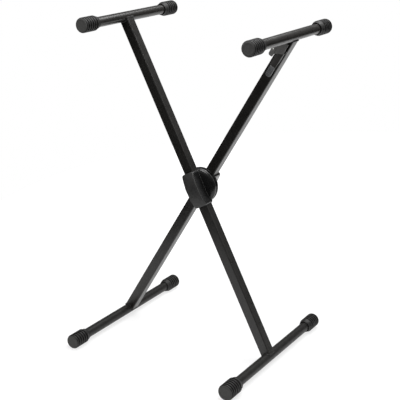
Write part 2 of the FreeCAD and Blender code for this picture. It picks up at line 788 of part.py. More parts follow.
    def trigger_lever(self):
        """Pressed lever: web, two flanges, pin barrel and the crank arm behind it."""
        n = self.n
        body = new_body(self.doc, "trigger_lever")
        front = self.front_of_rear_leg() - n.lever_front
        back = front + n.lever_sheet
        top = n.trigger_height - n.lever_top
        bottom = n.trigger_height - n.lever_length
        pin = self.pin_y()
        left = n.lever_shift - n.lever_half
        right = n.lever_shift + n.lever_half
        barrel = n.trigger_pin + n.barrel_wall
        rear = self.front_of_rear_leg() - n.flange_back - n.sliding_gap
        web = [(left, top), (left, bottom + n.grip_lap), (left + n.grip_inset, bottom + n.grip_lap / 2)]
        web += [(left + n.grip_inset, bottom), (right, bottom), (right, top)]
        add_block(body, "Y", front, back, polygon(web))
        flange = [(front, bottom + n.grip_lap), (back, bottom + n.grip_lap), (rear, top - n.flange_rise)]
        flange += [(pin + n.trigger_pin, n.trigger_height), (pin, n.trigger_height + barrel), (front, top)]
        for low, high in ((left, left + n.lever_sheet), (right - n.lever_sheet, right)):
            add_block(body, "X", low, high, polygon(flange))
        add_block(body, "X", left, right, circle((pin, n.trigger_height), barrel))
        arm_low = n.trigger_height - n.crank_height / 2
        arm_end = self.rod_y() + n.crank_height / 2
        add_block(body, "X", -n.crank_half, n.crank_half,
                  rectangle(pin, arm_end, arm_low, arm_low + n.crank_height))
        bore = n.trigger_pin + n.running_gap
        cut_through(body, "X", left, right, circle((pin, n.trigger_height), bore))
        cut_through(body, "X", left, right, circle((self.rod_y(), n.trigger_height), n.crank_pin))
        return self.place(body, 1)

    def trigger_grip(self):
        """Moulded thumb tab over the lower end of the lever."""
        n = self.n
        body = new_body(self.doc, "trigger_grip")
        front = self.front_of_rear_leg() - n.lever_front
        back = front + n.lever_sheet
        web_bottom = n.trigger_height - n.lever_length
        top = web_bottom + n.grip_lap
        bottom = top - n.grip_length
        left = n.lever_shift - n.lever_half + n.grip_inset
        right = n.lever_shift + n.lever_half
        taper = n.lever_half / 2
        outline = [(left, top), (left, bottom + taper), (left + taper, bottom), (right - taper, bottom)]
        outline += [(right, bottom + taper), (right, top)]
        add_block(body, "Y", front - n.grip_skin, back + n.grip_back, polygon(outline))
        socket = rectangle(left - n.grip_inset, right + OVERCUT, web_bottom, top + OVERCUT)
        cut_block(body, "Y", front, back, socket)
        return self.place(body, 1)

    def crank_pin(self):
        n = self.n
        body = new_body(self.doc, "crank_pin")
        half = n.clevis_half
        add_block(body, "X", -half, half, circle((self.rod_y(), n.trigger_height), n.crank_pin))
        return self.place(body, 1)

    def trigger_bracket(self):
        """Pressed bracket on the rear leg: a plate with a lug, and the ear that carries it."""
        n = self.n
        body = new_body(self.doc, "trigger_bracket")
        front = self.front_of_rear_leg() - n.bracket_front
        plate_back = front + n.bracket_sheet
        outside = -(n.leg_side / 2 + n.bracket_sheet)
        side = -n.leg_side / 2
        low = n.trigger_height - n.bracket_low
        high = n.arm_up - n.tube_radius - n.bracket_clear
        lug_top = n.trigger_height - n.lug_top
        lug_low = n.trigger_height - n.lug_low
        plate = [(n.bracket_right, low), (n.bracket_right, high), (outside, high)]
        plate += [(outside, lug_top + n.lug_round), (-n.lug_left, lug_top)]
        plate += [(-n.lug_left, lug_low + n.lug_round), (n.lug_round - n.lug_left, lug_low)]
        plate += [(-n.lug_right - n.lug_round / 2, lug_low), (-n.lug_right, lug_low + n.lug_round / 2)]
        plate += [(-n.lug_right, low - n.bracket_slant)]
        add_block(body, "Y", front, plate_back, polygon(plate))
        ear_end = self.front_of_rear_leg() + n.ear_back
        ear_low = n.trigger_height - n.ear_low
        ear = [(ear_end, high), (ear_end, ear_low + n.ear_round), (ear_end - n.ear_round, ear_low)]
        ear += [(front, ear_low), (front, high)]
        add_block(body, "X", outside, side, polygon(ear))
        cut_through(body, "X", outside, side, circle((self.pin_y(), n.trigger_height), n.trigger_pin))
        return self.place(body, 1)

    def trigger_pin(self):
        """Headed pin that carries the lever, with its retaining clip."""
        n = self.n
        body = new_body(self.doc, "trigger_pin")
        outside = -(n.leg_side / 2 + n.bracket_sheet)
        spot = (self.pin_y(), n.trigger_height)
        end = n.lever_shift + n.lever_half + n.pin_head_depth + n.sliding_gap
        add_block(body, "X", outside - n.pin_head_depth, outside, circle(spot, n.pin_head))
        add_block(body, "X", outside, end, circle(spot, n.trigger_pin))
        self.place(body, 1)
        clip = new_body(self.doc, "pin_clip")
        low = n.lever_shift + n.lever_half + n.sliding_gap
        add_block(clip, "X", low, low + n.clip_depth, circle(spot, n.pin_head))
        cut_through(clip, "X", low, low + n.clip_depth, circle(spot, n.trigger_pin))
        self.place(clip, 1)

    # ---- whole stand --------------------------------------------------------

    def build(self):
        """Make every piece."""
        n = self.n
        self.leg("leg_front", -1)
        self.leg("leg_rear", 1)
        support = n.support_length
        foot = n.foot_length
        tubes = [("support_left", -1, n.arm_up, support), ("support_right", 1, n.arm_up, support)]
        tubes += [("foot_left", 1, -n.arm_down, foot), ("foot_right", -1, -n.arm_down, foot)]
        for name, side, along, length in tubes:
            self.cross_tube("tube_" + name, side, along, length)
            for place_name, end in (("front", -1), ("rear", 1)):
                if name == "foot_right" and end < 0:
                    continue
                self.end_cap("cap_" + name + "_" + place_name, side, along, length / 2, end)
        self.levelling_cap("levelling_cap", n.arm_down, foot / 2)
        for name, side in (("front", -1), ("rear", 1)):
            self.hub_cover("hub_cover_" + name, side)
            self.hub_fascia("hub_fascia_" + name, side)
        self.pivot_stack()
        self.index_disc()
        self.lock_blade()
        self.pull_rod()
        self.rod_clevis()
        self.spring_collar()
        self.return_spring()
        self.rod_guide("rod_guide_lower", n.guide_low)
        self.rod_guide("rod_guide_upper", n.guide_high)
        self.trigger_lever()
        self.trigger_grip()
        self.crank_pin()
        self.trigger_bracket()
        self.trigger_pin()
        self.doc.recompute()
        return self.pieces


def check(doc, pieces):
    """Raise an error when anything in the document failed to build."""
    for item in doc.Objects:
        if "Invalid" in item.State or "Error" in item.State:
            raise ValueError(item.Label + " failed: " + ", ".join(item.State))
    for piece in pieces:
        shape = piece.Shape
        if shape.isNull() or not shape.isValid() or len(shape.Solids) != 1:
            raise ValueError(piece.Label + " has no single valid solid")


def main():
    doc = FreeCAD.newDocument("KeyboardStand")
    names = Names(make_sheet(doc))
    pieces = Stand(doc, names).build()
    check(doc, pieces)
    os.makedirs("parts", exist_ok=True)
    for piece in pieces:
        piece.Shape.exportStep("parts/" + piece.Label + ".step")
    print("wrote", len(pieces), "pieces")


main()
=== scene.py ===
"""Looks of a folding X-shaped keyboard stand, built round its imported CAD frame."""

import json
import logging
import math
from collections.abc import Callable, Iterable, Sequence
from dataclasses import dataclass, field
from enum import Enum

import bmesh
import bpy
from mathutils import Matrix, Vector


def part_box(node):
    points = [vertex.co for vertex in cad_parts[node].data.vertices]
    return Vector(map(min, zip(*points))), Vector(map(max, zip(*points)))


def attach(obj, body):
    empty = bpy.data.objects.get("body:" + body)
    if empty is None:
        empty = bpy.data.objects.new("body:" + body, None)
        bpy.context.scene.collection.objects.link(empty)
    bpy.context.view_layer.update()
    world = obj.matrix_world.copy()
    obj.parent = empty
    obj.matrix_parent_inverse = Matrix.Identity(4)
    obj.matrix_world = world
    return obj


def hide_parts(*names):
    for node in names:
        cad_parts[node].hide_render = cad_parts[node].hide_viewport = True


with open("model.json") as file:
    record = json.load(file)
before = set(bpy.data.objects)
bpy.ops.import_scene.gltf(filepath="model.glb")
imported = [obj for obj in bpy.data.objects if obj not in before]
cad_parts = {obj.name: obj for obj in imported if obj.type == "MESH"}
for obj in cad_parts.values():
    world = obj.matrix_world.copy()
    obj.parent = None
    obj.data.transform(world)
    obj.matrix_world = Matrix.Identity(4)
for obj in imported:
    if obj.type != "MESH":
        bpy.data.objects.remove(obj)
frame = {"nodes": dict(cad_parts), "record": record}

LOG = logging.getLogger("keyboard_stand")
MM = 0.001
SMOOTH_ANGLE = math.radians(38)
Point = tuple[float, float]
Point3 = tuple[float, float, float]
Socket = bpy.types.NodeSocket
Sockets = dict[str | int, object]
Tint = Socket | Sequence[float]
Mesh = bpy.types.Mesh
WHITE = (1.0, 1.0, 1.0, 1.0)


class Side(Enum):
    """Which of the two crossing legs a piece belongs to."""

    FRONT = -1
    REAR = 1


class Body(Enum):
    """The moving bodies that carry pieces made here."""

    FRONT_FRAME = "front_frame"
    REAR_FRAME = "rear_frame"
    LEVELLER = "levelling_cap"
    TRIGGER = "trigger"


# ---- node wiring ----


class Wiring:
    """A node tree under construction."""

    def __init__(self, tree: bpy.types.NodeTree) -> None:
        """Start with an empty tree."""
        self.tree = tree
        tree.nodes.clear()

    def add(self, kind: str, sockets: Sockets | None = None, **values: object) -> bpy.types.Node:
        """Add a node.

        Args:
            kind: Blender's name for the node type.
            sockets: Values of its inputs, or the outputs to wire to them.
            values: Properties to set on it.

        Returns:
            The new node.
        """
        node = self.tree.nodes.new(kind)
        for key, value in values.items():
            setattr(node, key, value)
        self.feed(node, sockets or {})
        return node

    def feed(self, node: bpy.types.Node, sockets: Sockets) -> None:
        """Set inputs of a node, or wire them.

        Args:
            node: The node.
            sockets: Values of its inputs, or the outputs to wire to them.
        """
        for key, value in sockets.items():
            if isinstance(value, Socket):
                self.tree.links.new(value, node.inputs[key])
            else:
                node.inputs[key].default_value = value

    def remap(self, source: Socket, low: float, high: float, start: float, end: float) -> Socket:
        """Turn values from start to end into values from low to high."""
        sockets = {"Value": source, "From Min": start, "From Max": end, "To Min": low, "To Max": high}
        return self.add("ShaderNodeMapRange", sockets).outputs["Result"]


class Shader(Wiring):
    """A material under construction: one principled shader and the nodes that feed it."""

    def __init__(self, name: str) -> None:
        """Start an empty material of the given name."""
        self.material = bpy.data.materials.new(name)
        self.material.use_nodes = True
        super().__init__(self.material.node_tree)
        self.base = self.add("ShaderNodeBsdfPrincipled")
        self.add("ShaderNodeOutputMaterial", {"Surface": self.base.outputs["BSDF"]})
        self.place = self.add("ShaderNodeTexCoord").outputs["Object"]

    def noise(
        self, scale: float, detail: float = 3.0, rough: float = 0.55, stretch: Vector | None = None
    ) -> Socket:
        """Noise over the surface.

        Args:
            scale: Bumps per metre.
            detail: Octaves.
            rough: How strong the finer octaves are.
            stretch: Scale of each axis before the noise, or None.

        Returns:
            The noise's value socket.
        """
        source = self.place
        if stretch is not None:
            source = self.add("ShaderNodeMapping", {"Scale": stretch, "Vector": source}).outputs["Vector"]
        sockets = {"Scale": scale, "Detail": detail, "Roughness": rough, "Vector": source}
        return self.add("ShaderNodeTexNoise", sockets).outputs["Fac"]

    def cells(self, scale: float) -> Socket:
        """Cell pattern, as a value that rises away from the middle of each cell."""
        return self.add("ShaderNodeTexVoronoi", {"Scale": scale, "Vector": self.place}).outputs["Distance"]

    def blend(self, share: Socket, first: Tint, second: Tint) -> Socket:
        """Mix two colours by a value.

        Args:
            share: 0 gives first and 1 gives second.
            first: A colour or a socket.
            second: A colour or a socket.

        Returns:
            The mixed colour's socket.
        """
        colours = [part if isinstance(part, Socket) else (*part, 1) for part in (first, second)]
        sockets = {0: share, 6: colours[0], 7: colours[1]}
        return self.add("ShaderNodeMix", sockets, data_type="RGBA").outputs[2]

    def bump(self, height: Socket, depth: float, after: Socket | None = None) -> Socket:
        """Make a bump from a height value.

        Args:
            height: The height, from 0 to 1.
            depth: Depth of the relief in metres.
            after: A bump to build on, or None.

        Returns:
            The normal's socket.
        """
        node = self.add("ShaderNodeBump", {"Distance": depth, "Height": height})
        if after is not None:
            self.feed(node, {"Normal": after})
        return node.outputs["Normal"]

    def edges(self, low: float, high: float) -> Socket:
        """Value that is 0 on flat surface and 1 on sharp outer edges, which finishes pale as wear and as
        painted highlight.
        """
        return self.remap(self.add("ShaderNodeNewGeometry").outputs["Pointiness"], 0.0, 1.0, low, high)

    def multiply(self, first: Socket, second: Socket) -> Socket:
        """Product of two values."""
        return self.add("ShaderNodeMath", {0: first, 1: second}, operation="MULTIPLY").outputs[0]


# ---- finishes ----


@dataclass(frozen=True)
class CoatedFinish:
    """Paint, plastic or rubber: a coloured surface with grain, patches and paler outer edges, partly wear
    and partly painted highlight.

    Attributes:
        name: Material name.
        colour: Colour of the clean surface.
        dusty: Colour of its paler patches.
        roughness: Lowest and highest roughness.
        specular: Strength of the reflections.
        grain: Bumps per metre of the fine relief.
        grain_depth: Depth of the fine relief in metres.
        peel: Bumps per metre of the slow relief.
        peel_depth: Depth of the slow relief in metres.
        edge_wear_and_highlight: How much outer edges pale, as wear and as painted highlight, from 0 to 1.
        pitted: Whether the fine relief is a field of pits, as on spark-textured plastic.
    """

    name: str
    colour: tuple[float, float, float]
    dusty: tuple[float, float, float]
    roughness: tuple[float, float]
    specular: float
    grain: float
    grain_depth: float
    peel: float
    peel_depth: float
    edge_wear_and_highlight: float
    pitted: bool = False

    def make(self) -> bpy.types.Material:
        """Build the material, ready to be given to pieces."""
        shader = Shader(self.name)
        patches = shader.remap(shader.noise(9.0, 5.0, 0.6), 0.0, 1.0, 0.35, 0.7)
        flecks = shader.noise(260.0, 3.0, 0.6)
        smears = shader.noise(34.0, 4.0, 0.6)
        tone = shader.multiply(patches, shader.remap(flecks, 0.45, 1.0, 0.3, 0.7))
        # Outer edges are painted paler: partly wear, partly a painted highlight along the edges.
        edge_wear_and_highlight_mask = shader.multiply(shader.edges(0.52, 0.6), shader.remap(flecks, 0.0, self.edge_wear_and_highlight, 0.4, 0.65))
        edge_wear_and_highlight_tint = [min(1.0, 3.2 * part) for part in self.dusty]
        fine = shader.cells(self.grain) if self.pitted else shader.noise(self.grain, 2.0, 0.5)
        slow = shader.bump(shader.noise(self.peel, 2.0, 0.4), self.peel_depth)
        shader.feed(shader.base, {
            "Base Color": shader.blend(edge_wear_and_highlight_mask, shader.blend(tone, self.colour, self.dusty), edge_wear_and_highlight_tint),
            "Roughness": shader.remap(smears, *self.roughness, 0.3, 0.7),
            "Specular IOR Level": self.specular,
            "Normal": shader.bump(fine, self.grain_depth, slow),
        })
        return shader.material


@dataclass(frozen=True)
class MetalFinish:
    """Plated or bare steel with a brushed grain and handling stains.

    Attributes:
        name: Material name.
        colour: Colour of the clean metal.
        stain: Colour of its duller patches.
        roughness: Lowest and highest roughness.
        grain: Lines per metre of the brushed grain.
    """

    name: str
    colour: tuple[float, float, float]
    stain: tuple[float, float, float]
    roughness: tuple[float, float]
    grain: float

    def make(self) -> bpy.types.Material:
        """Build the material, ready to be given to pieces."""
        shader = Shader(self.name)
        patches = shader.remap(shader.noise(120.0, 5.0, 0.65), 0.0, 1.0, 0.4, 0.72)
        lines = shader.noise(self.grain, 3.0, 0.6, Vector((1.0, 0.06, 1.0)))
        shader.feed(shader.base, {
            "Base Color": shader.blend(patches, self.colour, self.stain),
            "Roughness": shader.remap(lines, *self.roughness, 0.3, 0.7),
            "Metallic": 1.0,
            "Normal": shader.bump(lines, 0.03 * MM),
        })
        return shader.material


Finish = CoatedFinish | MetalFinish
POWDER_COAT = CoatedFinish(
    "powder_coat_black", (0.0065, 0.0061, 0.0056), (0.012, 0.0112, 0.0102), (0.26, 0.36), 0.52,
    1500.0, 0.035 * MM, 420.0, 0.05 * MM, 0.35,
)
# Duller, rougher copy of the powder coat for the foot tubes. Its colour is a little darker as painted
# shade.
FOOT_COAT_SHADED = CoatedFinish(
    "powder_coat_foot_shaded", (0.0055, 0.0053, 0.005), (0.01, 0.0096, 0.009), (0.36, 0.48), 0.3,
    1500.0, 0.035 * MM, 420.0, 0.05 * MM, 0.35,
)
CAP_RUBBER = CoatedFinish(
    "cap_rubber_black", (0.009, 0.0089, 0.0086), (0.017, 0.0167, 0.016), (0.46, 0.58), 0.34,
    700.0, 0.02 * MM, 160.0, 0.05 * MM, 0.25,
)
# Paler copy of the cap rubber for the closed end faces: painted light, standing in for the front light
# falling on them.
CAP_END_PAINTED_LIGHT = CoatedFinish(
    "cap_rubber_end_painted_light", (0.046, 0.0456, 0.0443), (0.072, 0.0713, 0.0691), (0.6, 0.75), 0.3,
    700.0, 0.03 * MM, 160.0, 0.05 * MM, 0.2,
)
# Near-black copy of the cap rubber for groove floors and the mouth's recess: painted shade where those
# hollows are shaded.
CAP_GROOVE_SHADE = CoatedFinish(
    "cap_rubber_groove_painted_shade", (0.003, 0.003, 0.003), (0.006, 0.006, 0.006), (0.7, 0.85), 0.15,
    700.0, 0.02 * MM, 160.0, 0.03 * MM, 0.1,
)
HUB_PLASTIC = CoatedFinish(
    "hub_plastic_black", (0.005, 0.005, 0.0051), (0.009, 0.009, 0.0092), (0.2, 0.28), 0.55,
    2600.0, 0.015 * MM, 140.0, 0.05 * MM, 0.4,
)
FASCIA_PLASTIC = CoatedFinish(
    "fascia_plastic_textured", (0.016, 0.0158, 0.0154), (0.036, 0.0355, 0.0345), (0.42, 0.56), 0.5,
    1100.0, 0.12 * MM, 180.0, 0.04 * MM, 0.5, pitted=True,
)
TRIGGER_PAINT = CoatedFinish(
    "trigger_paint_black", (0.02, 0.019, 0.018), (0.04, 0.037, 0.034), (0.36, 0.5), 0.5,
    1800.0, 0.03 * MM, 500.0, 0.04 * MM, 0.6,
)
BRACKET_PAINT = CoatedFinish(
    "bracket_paint_worn", (0.085, 0.083, 0.081), (0.14, 0.137, 0.134), (0.36, 0.5), 0.5,
    1700.0, 0.03 * MM, 460.0, 0.04 * MM, 0.6,
)
GRIP_PLASTIC = CoatedFinish(
    "grip_plastic_grey", (0.075, 0.077, 0.08), (0.11, 0.112, 0.115), (0.42, 0.55), 0.5,
    1600.0, 0.05 * MM, 200.0, 0.04 * MM, 0.4, pitted=True,
)
NYLON = CoatedFinish(
    "nylon_natural", (0.62, 0.6, 0.54), (0.7, 0.68, 0.6), (0.4, 0.5), 0.5,
    900.0, 0.03 * MM, 200.0, 0.03 * MM, 0.1,
)
ZINC = MetalFinish("zinc_plate", (0.62, 0.62, 0.6), (0.36, 0.35, 0.31), (0.25, 0.42), 1800.0)
# Near-black metal for the trigger pin and its clip. It is dark so that they read as the shade beside the
# bracket plate, which is painted shade.
PIN_SHADE_DARK = MetalFinish("pin_dark_painted_shade", (0.035, 0.035, 0.034), (0.018, 0.018, 0.018), (0.35, 0.5), 1800.0)
BARE_STEEL = MetalFinish("oiled_steel", (0.46, 0.46, 0.46), (0.26, 0.25, 0.23), (0.3, 0.5), 1400.0)


class FinishShelf:
    """Keeps each finish's material, made once."""

    def __init__(self) -> None:
        """Start with no materials made."""
        self.made: dict[str, bpy.types.Material] = {}

    def get(self, finish: Finish) -> bpy.types.Material:
        """Material of a finish, made on first use."""
        if finish.name not in self.made:
            self.made[finish.name] = finish.make()
        return self.made[finish.name]


SHELF = FinishShelf()


# ---- mesh making ----


def finish_mesh(mesh: Mesh) -> Mesh:
    """Close up, orient and smooth a mesh, keeping edges sharper than SMOOTH_ANGLE.

    Args:
        mesh: The mesh to tidy.

    Returns:
        The same mesh.
    """
    work = bmesh.new()
    work.from_mesh(mesh)
    bmesh.ops.remove_doubles(work, verts=work.verts, dist=1e-6)
    bmesh.ops.dissolve_degenerate(work, edges=work.edges, dist=1e-7)
    bmesh.ops.recalc_face_normals(work, faces=work.faces)
    for face in work.faces:
        face.smooth = True
    for edge in work.edges:
        if len(edge.link_faces) == 2:
            edge.smooth = edge.calc_face_angle(0.0) < SMOOTH_ANGLE
    work.to_mesh(mesh)
    work.free()
    return mesh


def mesh_of(name: str, points: Iterable[Sequence[float]], faces: Iterable[Sequence[int]]) -> Mesh:
    """Make a tidy mesh.

    Args:
        name: Name of the mesh.
        points: Corner positions in metres.
        faces: Corner numbers of each face.

    Returns:
        The mesh.
    """
    mesh = bpy.data.meshes.new(name)
    mesh.from_pydata([tuple(p) for p in points], [], [tuple(f) for f in faces])
    return finish_mesh(mesh)


def lathe(name: str, profile: Sequence[Point], turns: int = 96, closed: bool = False) -> Mesh:
    """Turn a profile about the y axis.

    Args:
        name: Name of the mesh.
        profile: (radius, y) points in millimetres, from one end to the other.
        turns: Steps round the axis.
        closed: Whether the profile's last point joins its first, as on a ring.

    Returns:
        The mesh.
    """
    points: list[Point3] = []
    rings: list[list[int]] = []
    for radius, y in profile:
        if radius < 1e-6:
            points.append((0.0, y * MM, 0.0))
            rings.append([len(points) - 1] * turns)
            continue
        first = len(points)
        for step in range(turns):
            angle = 2 * math.pi * step / turns
            points.append((radius * MM * math.cos(angle), y * MM, radius * MM * math.sin(angle)))
        rings.append(list(range(first, first + turns)))
    pairs = list(zip(rings, rings[1:]))
    if closed:
        pairs.append((rings[-1], rings[0]))
    faces: list[tuple[int, ...]] = []
    for low, high in pairs:
        for step in range(turns):
            following = (step + 1) % turns
            face = dict.fromkeys((low[step], low[following], high[following], high[step]))
            faces.append(tuple(face))
    return mesh_of(name, points, faces)


def loft(name: str, sections: Sequence[Sequence[Sequence[float]]]) -> Mesh:
    """Join closed sections with the same number of corners, and close both ends.

    Args:
        name: Name of the mesh.
        sections: Lists of (x, y, z) corners in millimetres.

    Returns:
        The mesh.
    """
    count = len(sections[0])
    points = [tuple(value * MM for value in corner) for section in sections for corner in section]
    faces: list[tuple[int, ...]] = []
    for row in range(len(sections) - 1):
        for step in range(count):
            following = (step + 1) % count
            low, high = row * count, (row + 1) * count
            faces.append((low + step, low + following, high + following, high + step))
    faces.append(tuple(range(count)))
    faces.append(tuple(range((len(sections) - 1) * count, len(sections) * count)))
    return mesh_of(name, points, faces)


def rounded_outline(corners: Sequence[Sequence[float]], steps: int = 6) -> list[Point]:
    """Round the corners of a polygon.

    Args:
        corners: (a, b, radius) or a sharp (a, b) of each corner, in order.
        steps: Points on each rounded corner, less one.

    Returns:
        The outline's points.
    """
    outline: list[Point] = []
    count = len(corners)
    for index, (a, b, *radius) in enumerate(corners):
        here = Vector((a, b))
        before = Vector(corners[index - 1][:2]) - here
        after = Vector(corners[(index + 1) % count][:2]) - here
        if not any(radius):
            outline.append((a, b))
            continue
        tangent = radius[0] / math.tan(before.angle(after) / 2)
        reach = min(tangent, before.length * 0.49, after.length * 0.49)
        start = here + before.normalized() * reach
        end = here + after.normalized() * reach
        for step in range(steps + 1):
            share = step / steps
            point = start * (1 - share) ** 2 + here * 2 * share * (1 - share) + end * share**2
            outline.append((point.x, point.y))
    return outline


def subdivide(loop: Sequence[Vector], spacing: float) -> list[Vector]:
    """Add points to a closed loop.

    Args:
        loop: The loop's points.
        spacing: Rough distance between the new points.

    Returns:
        The denser loop.
    """
    dense: list[Vector] = []
    for start, end in zip(loop, [*loop[1:], loop[0]]):
        parts = max(1, round((end - start).length / spacing))
        dense += [start.lerp(end, part / parts) for part in range(parts)]
    return dense


def plate(
    name: str, corners: Sequence[Sequence[float]], low: float, high: float, axis: str, edge: float = 0.5,
    steps: int = 6,
) -> Mesh:
    """A flat plate with rounded corners and rims.

    Args:
        name: Name of the mesh.
        corners: Corners with radii, in (x, z) for axis y, (y, z) for axis x or (x, y) for axis z.
        low: Lower face along the axis, in millimetres.
        high: Upper face along the axis.
        axis: The axis across the plate: x, y or z.
        edge: Radius of the rims.
        steps: Points on each rounded corner, less one.

    Returns:
        The mesh.
    """
    outline = rounded_outline(corners, steps)
    middle = Vector((sum(p[0] for p in outline), sum(p[1] for p in outline))) / len(outline)
    reach = max((Vector(p) - middle).length for p in outline)
    rim = [(edge * (1 - math.sin(a)), edge * (1 - math.cos(a))) for a in quarter(3)]
    levels = [(low + rise, inset) for rise, inset in rim]
    levels += [(high - rise, inset) for rise, inset in reversed(rim)]
    sections = []
    for level, inset in levels:
        section = []
        for point in outline:
            shrunk = middle + (Vector(point) - middle) * (1 - inset / reach)
            places = {"x": (level, *shrunk), "y": (shrunk.x, level, shrunk.y), "z": (*shrunk, level)}
            section.append(places[axis])
        sections.append(section)
    return loft(name, sections)


def quarter(steps: int) -> Iterable[float]:
    """Angles from a right angle down to 0, ends included."""
    return (math.pi / 2 * (1 - step / steps) for step in range(steps + 1))


def join_meshes(name: str, kind: str, first: Mesh, second: Mesh) -> Mesh:
    """Unite two closed meshes, or cut one out of the other.

    Args:
        name: Name of the result.
        kind: UNION or DIFFERENCE.
        first: The mesh that is kept.
        second: The mesh added or taken away.

    Returns:
        The resulting mesh.
    """
    holder = bpy.data.objects.new("work_kept", first)
    tool = bpy.data.objects.new("work_tool", second)
    for item in (holder, tool):
        bpy.context.scene.collection.objects.link(item)
    modifier = holder.modifiers.new("join", "BOOLEAN")
    modifier.operation = kind
    modifier.solver = "EXACT"
    modifier.object = tool
    graph = bpy.context.evaluated_depsgraph_get()
    mesh = bpy.data.meshes.new_from_object(holder.evaluated_get(graph))
    mesh.name = name
    for item in (holder, tool):
        bpy.data.objects.remove(item)
    for old in (first, second):
        bpy.data.meshes.remove(old)
    return finish_mesh(mesh)


def show(
    mesh: Mesh, place: Matrix, body: Body, finish: Finish,
    stands_for: Sequence[str] = (),
) -> bpy.types.Object:
    """Put a mesh in the scene as a piece of the stand.

    Args:
        mesh: The piece's mesh; its name becomes the piece's name.
        place: Where the piece goes.
        body: The body that it moves with.
        finish: Its finish.
        stands_for: CAD nodes that it is shown instead of.

    Returns:
        The new object.
    """
    piece = bpy.data.objects.new(mesh.name, mesh)
    bpy.context.scene.collection.objects.link(piece)
    mesh.transform(place)
    mesh.materials.clear()
    mesh.materials.append(SHELF.get(finish))
    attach(piece, body.value)
    if stands_for:
        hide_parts(*stands_for)
    LOG.info("%s: %d faces on %s", piece.name, len(mesh.polygons), body.value)
    return piece


# ---- the stand's own frame ----


@dataclass
class Layout:
    """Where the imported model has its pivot, its legs and its tubes.

    Attributes:
        pivot: Middle of the hub, in metres.
        lean: Lean of each leg from the vertical, in radians.
        up: Distance along a leg from the pivot to the upper tube, in millimetres.
        down: Distance along a leg from the pivot to the foot tube.
    """

    pivot: Vector
    lean: float
    up: float
    down: float

    @classmethod
    def read(cls, record: dict) -> "Layout":
        """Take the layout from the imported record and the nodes' boxes.

        Args:
            record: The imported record.

        Returns:
            The layout.
        """
        joints = {joint["name"]: joint for joint in record["behaviour"]["joints"]}
        pivot = Vector(joints["fold"]["pos_m"])
        axis = joints["lock_lift"]["axis"]
        lean = math.atan2(axis[0], axis[2])
        top = tube_axis("tube_support_right")
        bottom = tube_axis("tube_foot_right")
        up = (top - pivot).xz.length / MM
        down = (bottom - pivot).xz.length / MM
        return cls(pivot, lean, up, down)

    def leg(self, side: Side, turned: bool = False) -> Matrix:
        """Frame of a leg: x across it, z up along it, origin at the pivot.

        Args:
            side: Which leg.
            turned: Whether the frame is turned half round its own z axis.

        Returns:
            The frame's matrix.
        """
        matrix = Matrix.Translation(self.pivot) @ Matrix.Rotation(self.lean * side.value, 4, "Y")
        if turned:
            matrix = matrix @ Matrix.Rotation(math.pi, 4, "Z")
        return matrix


def tube_axis(node: str) -> Vector:
    """Middle of a cross tube, in metres."""
    low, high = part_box(node)
    return (low + high) / 2


# ---- caps ----


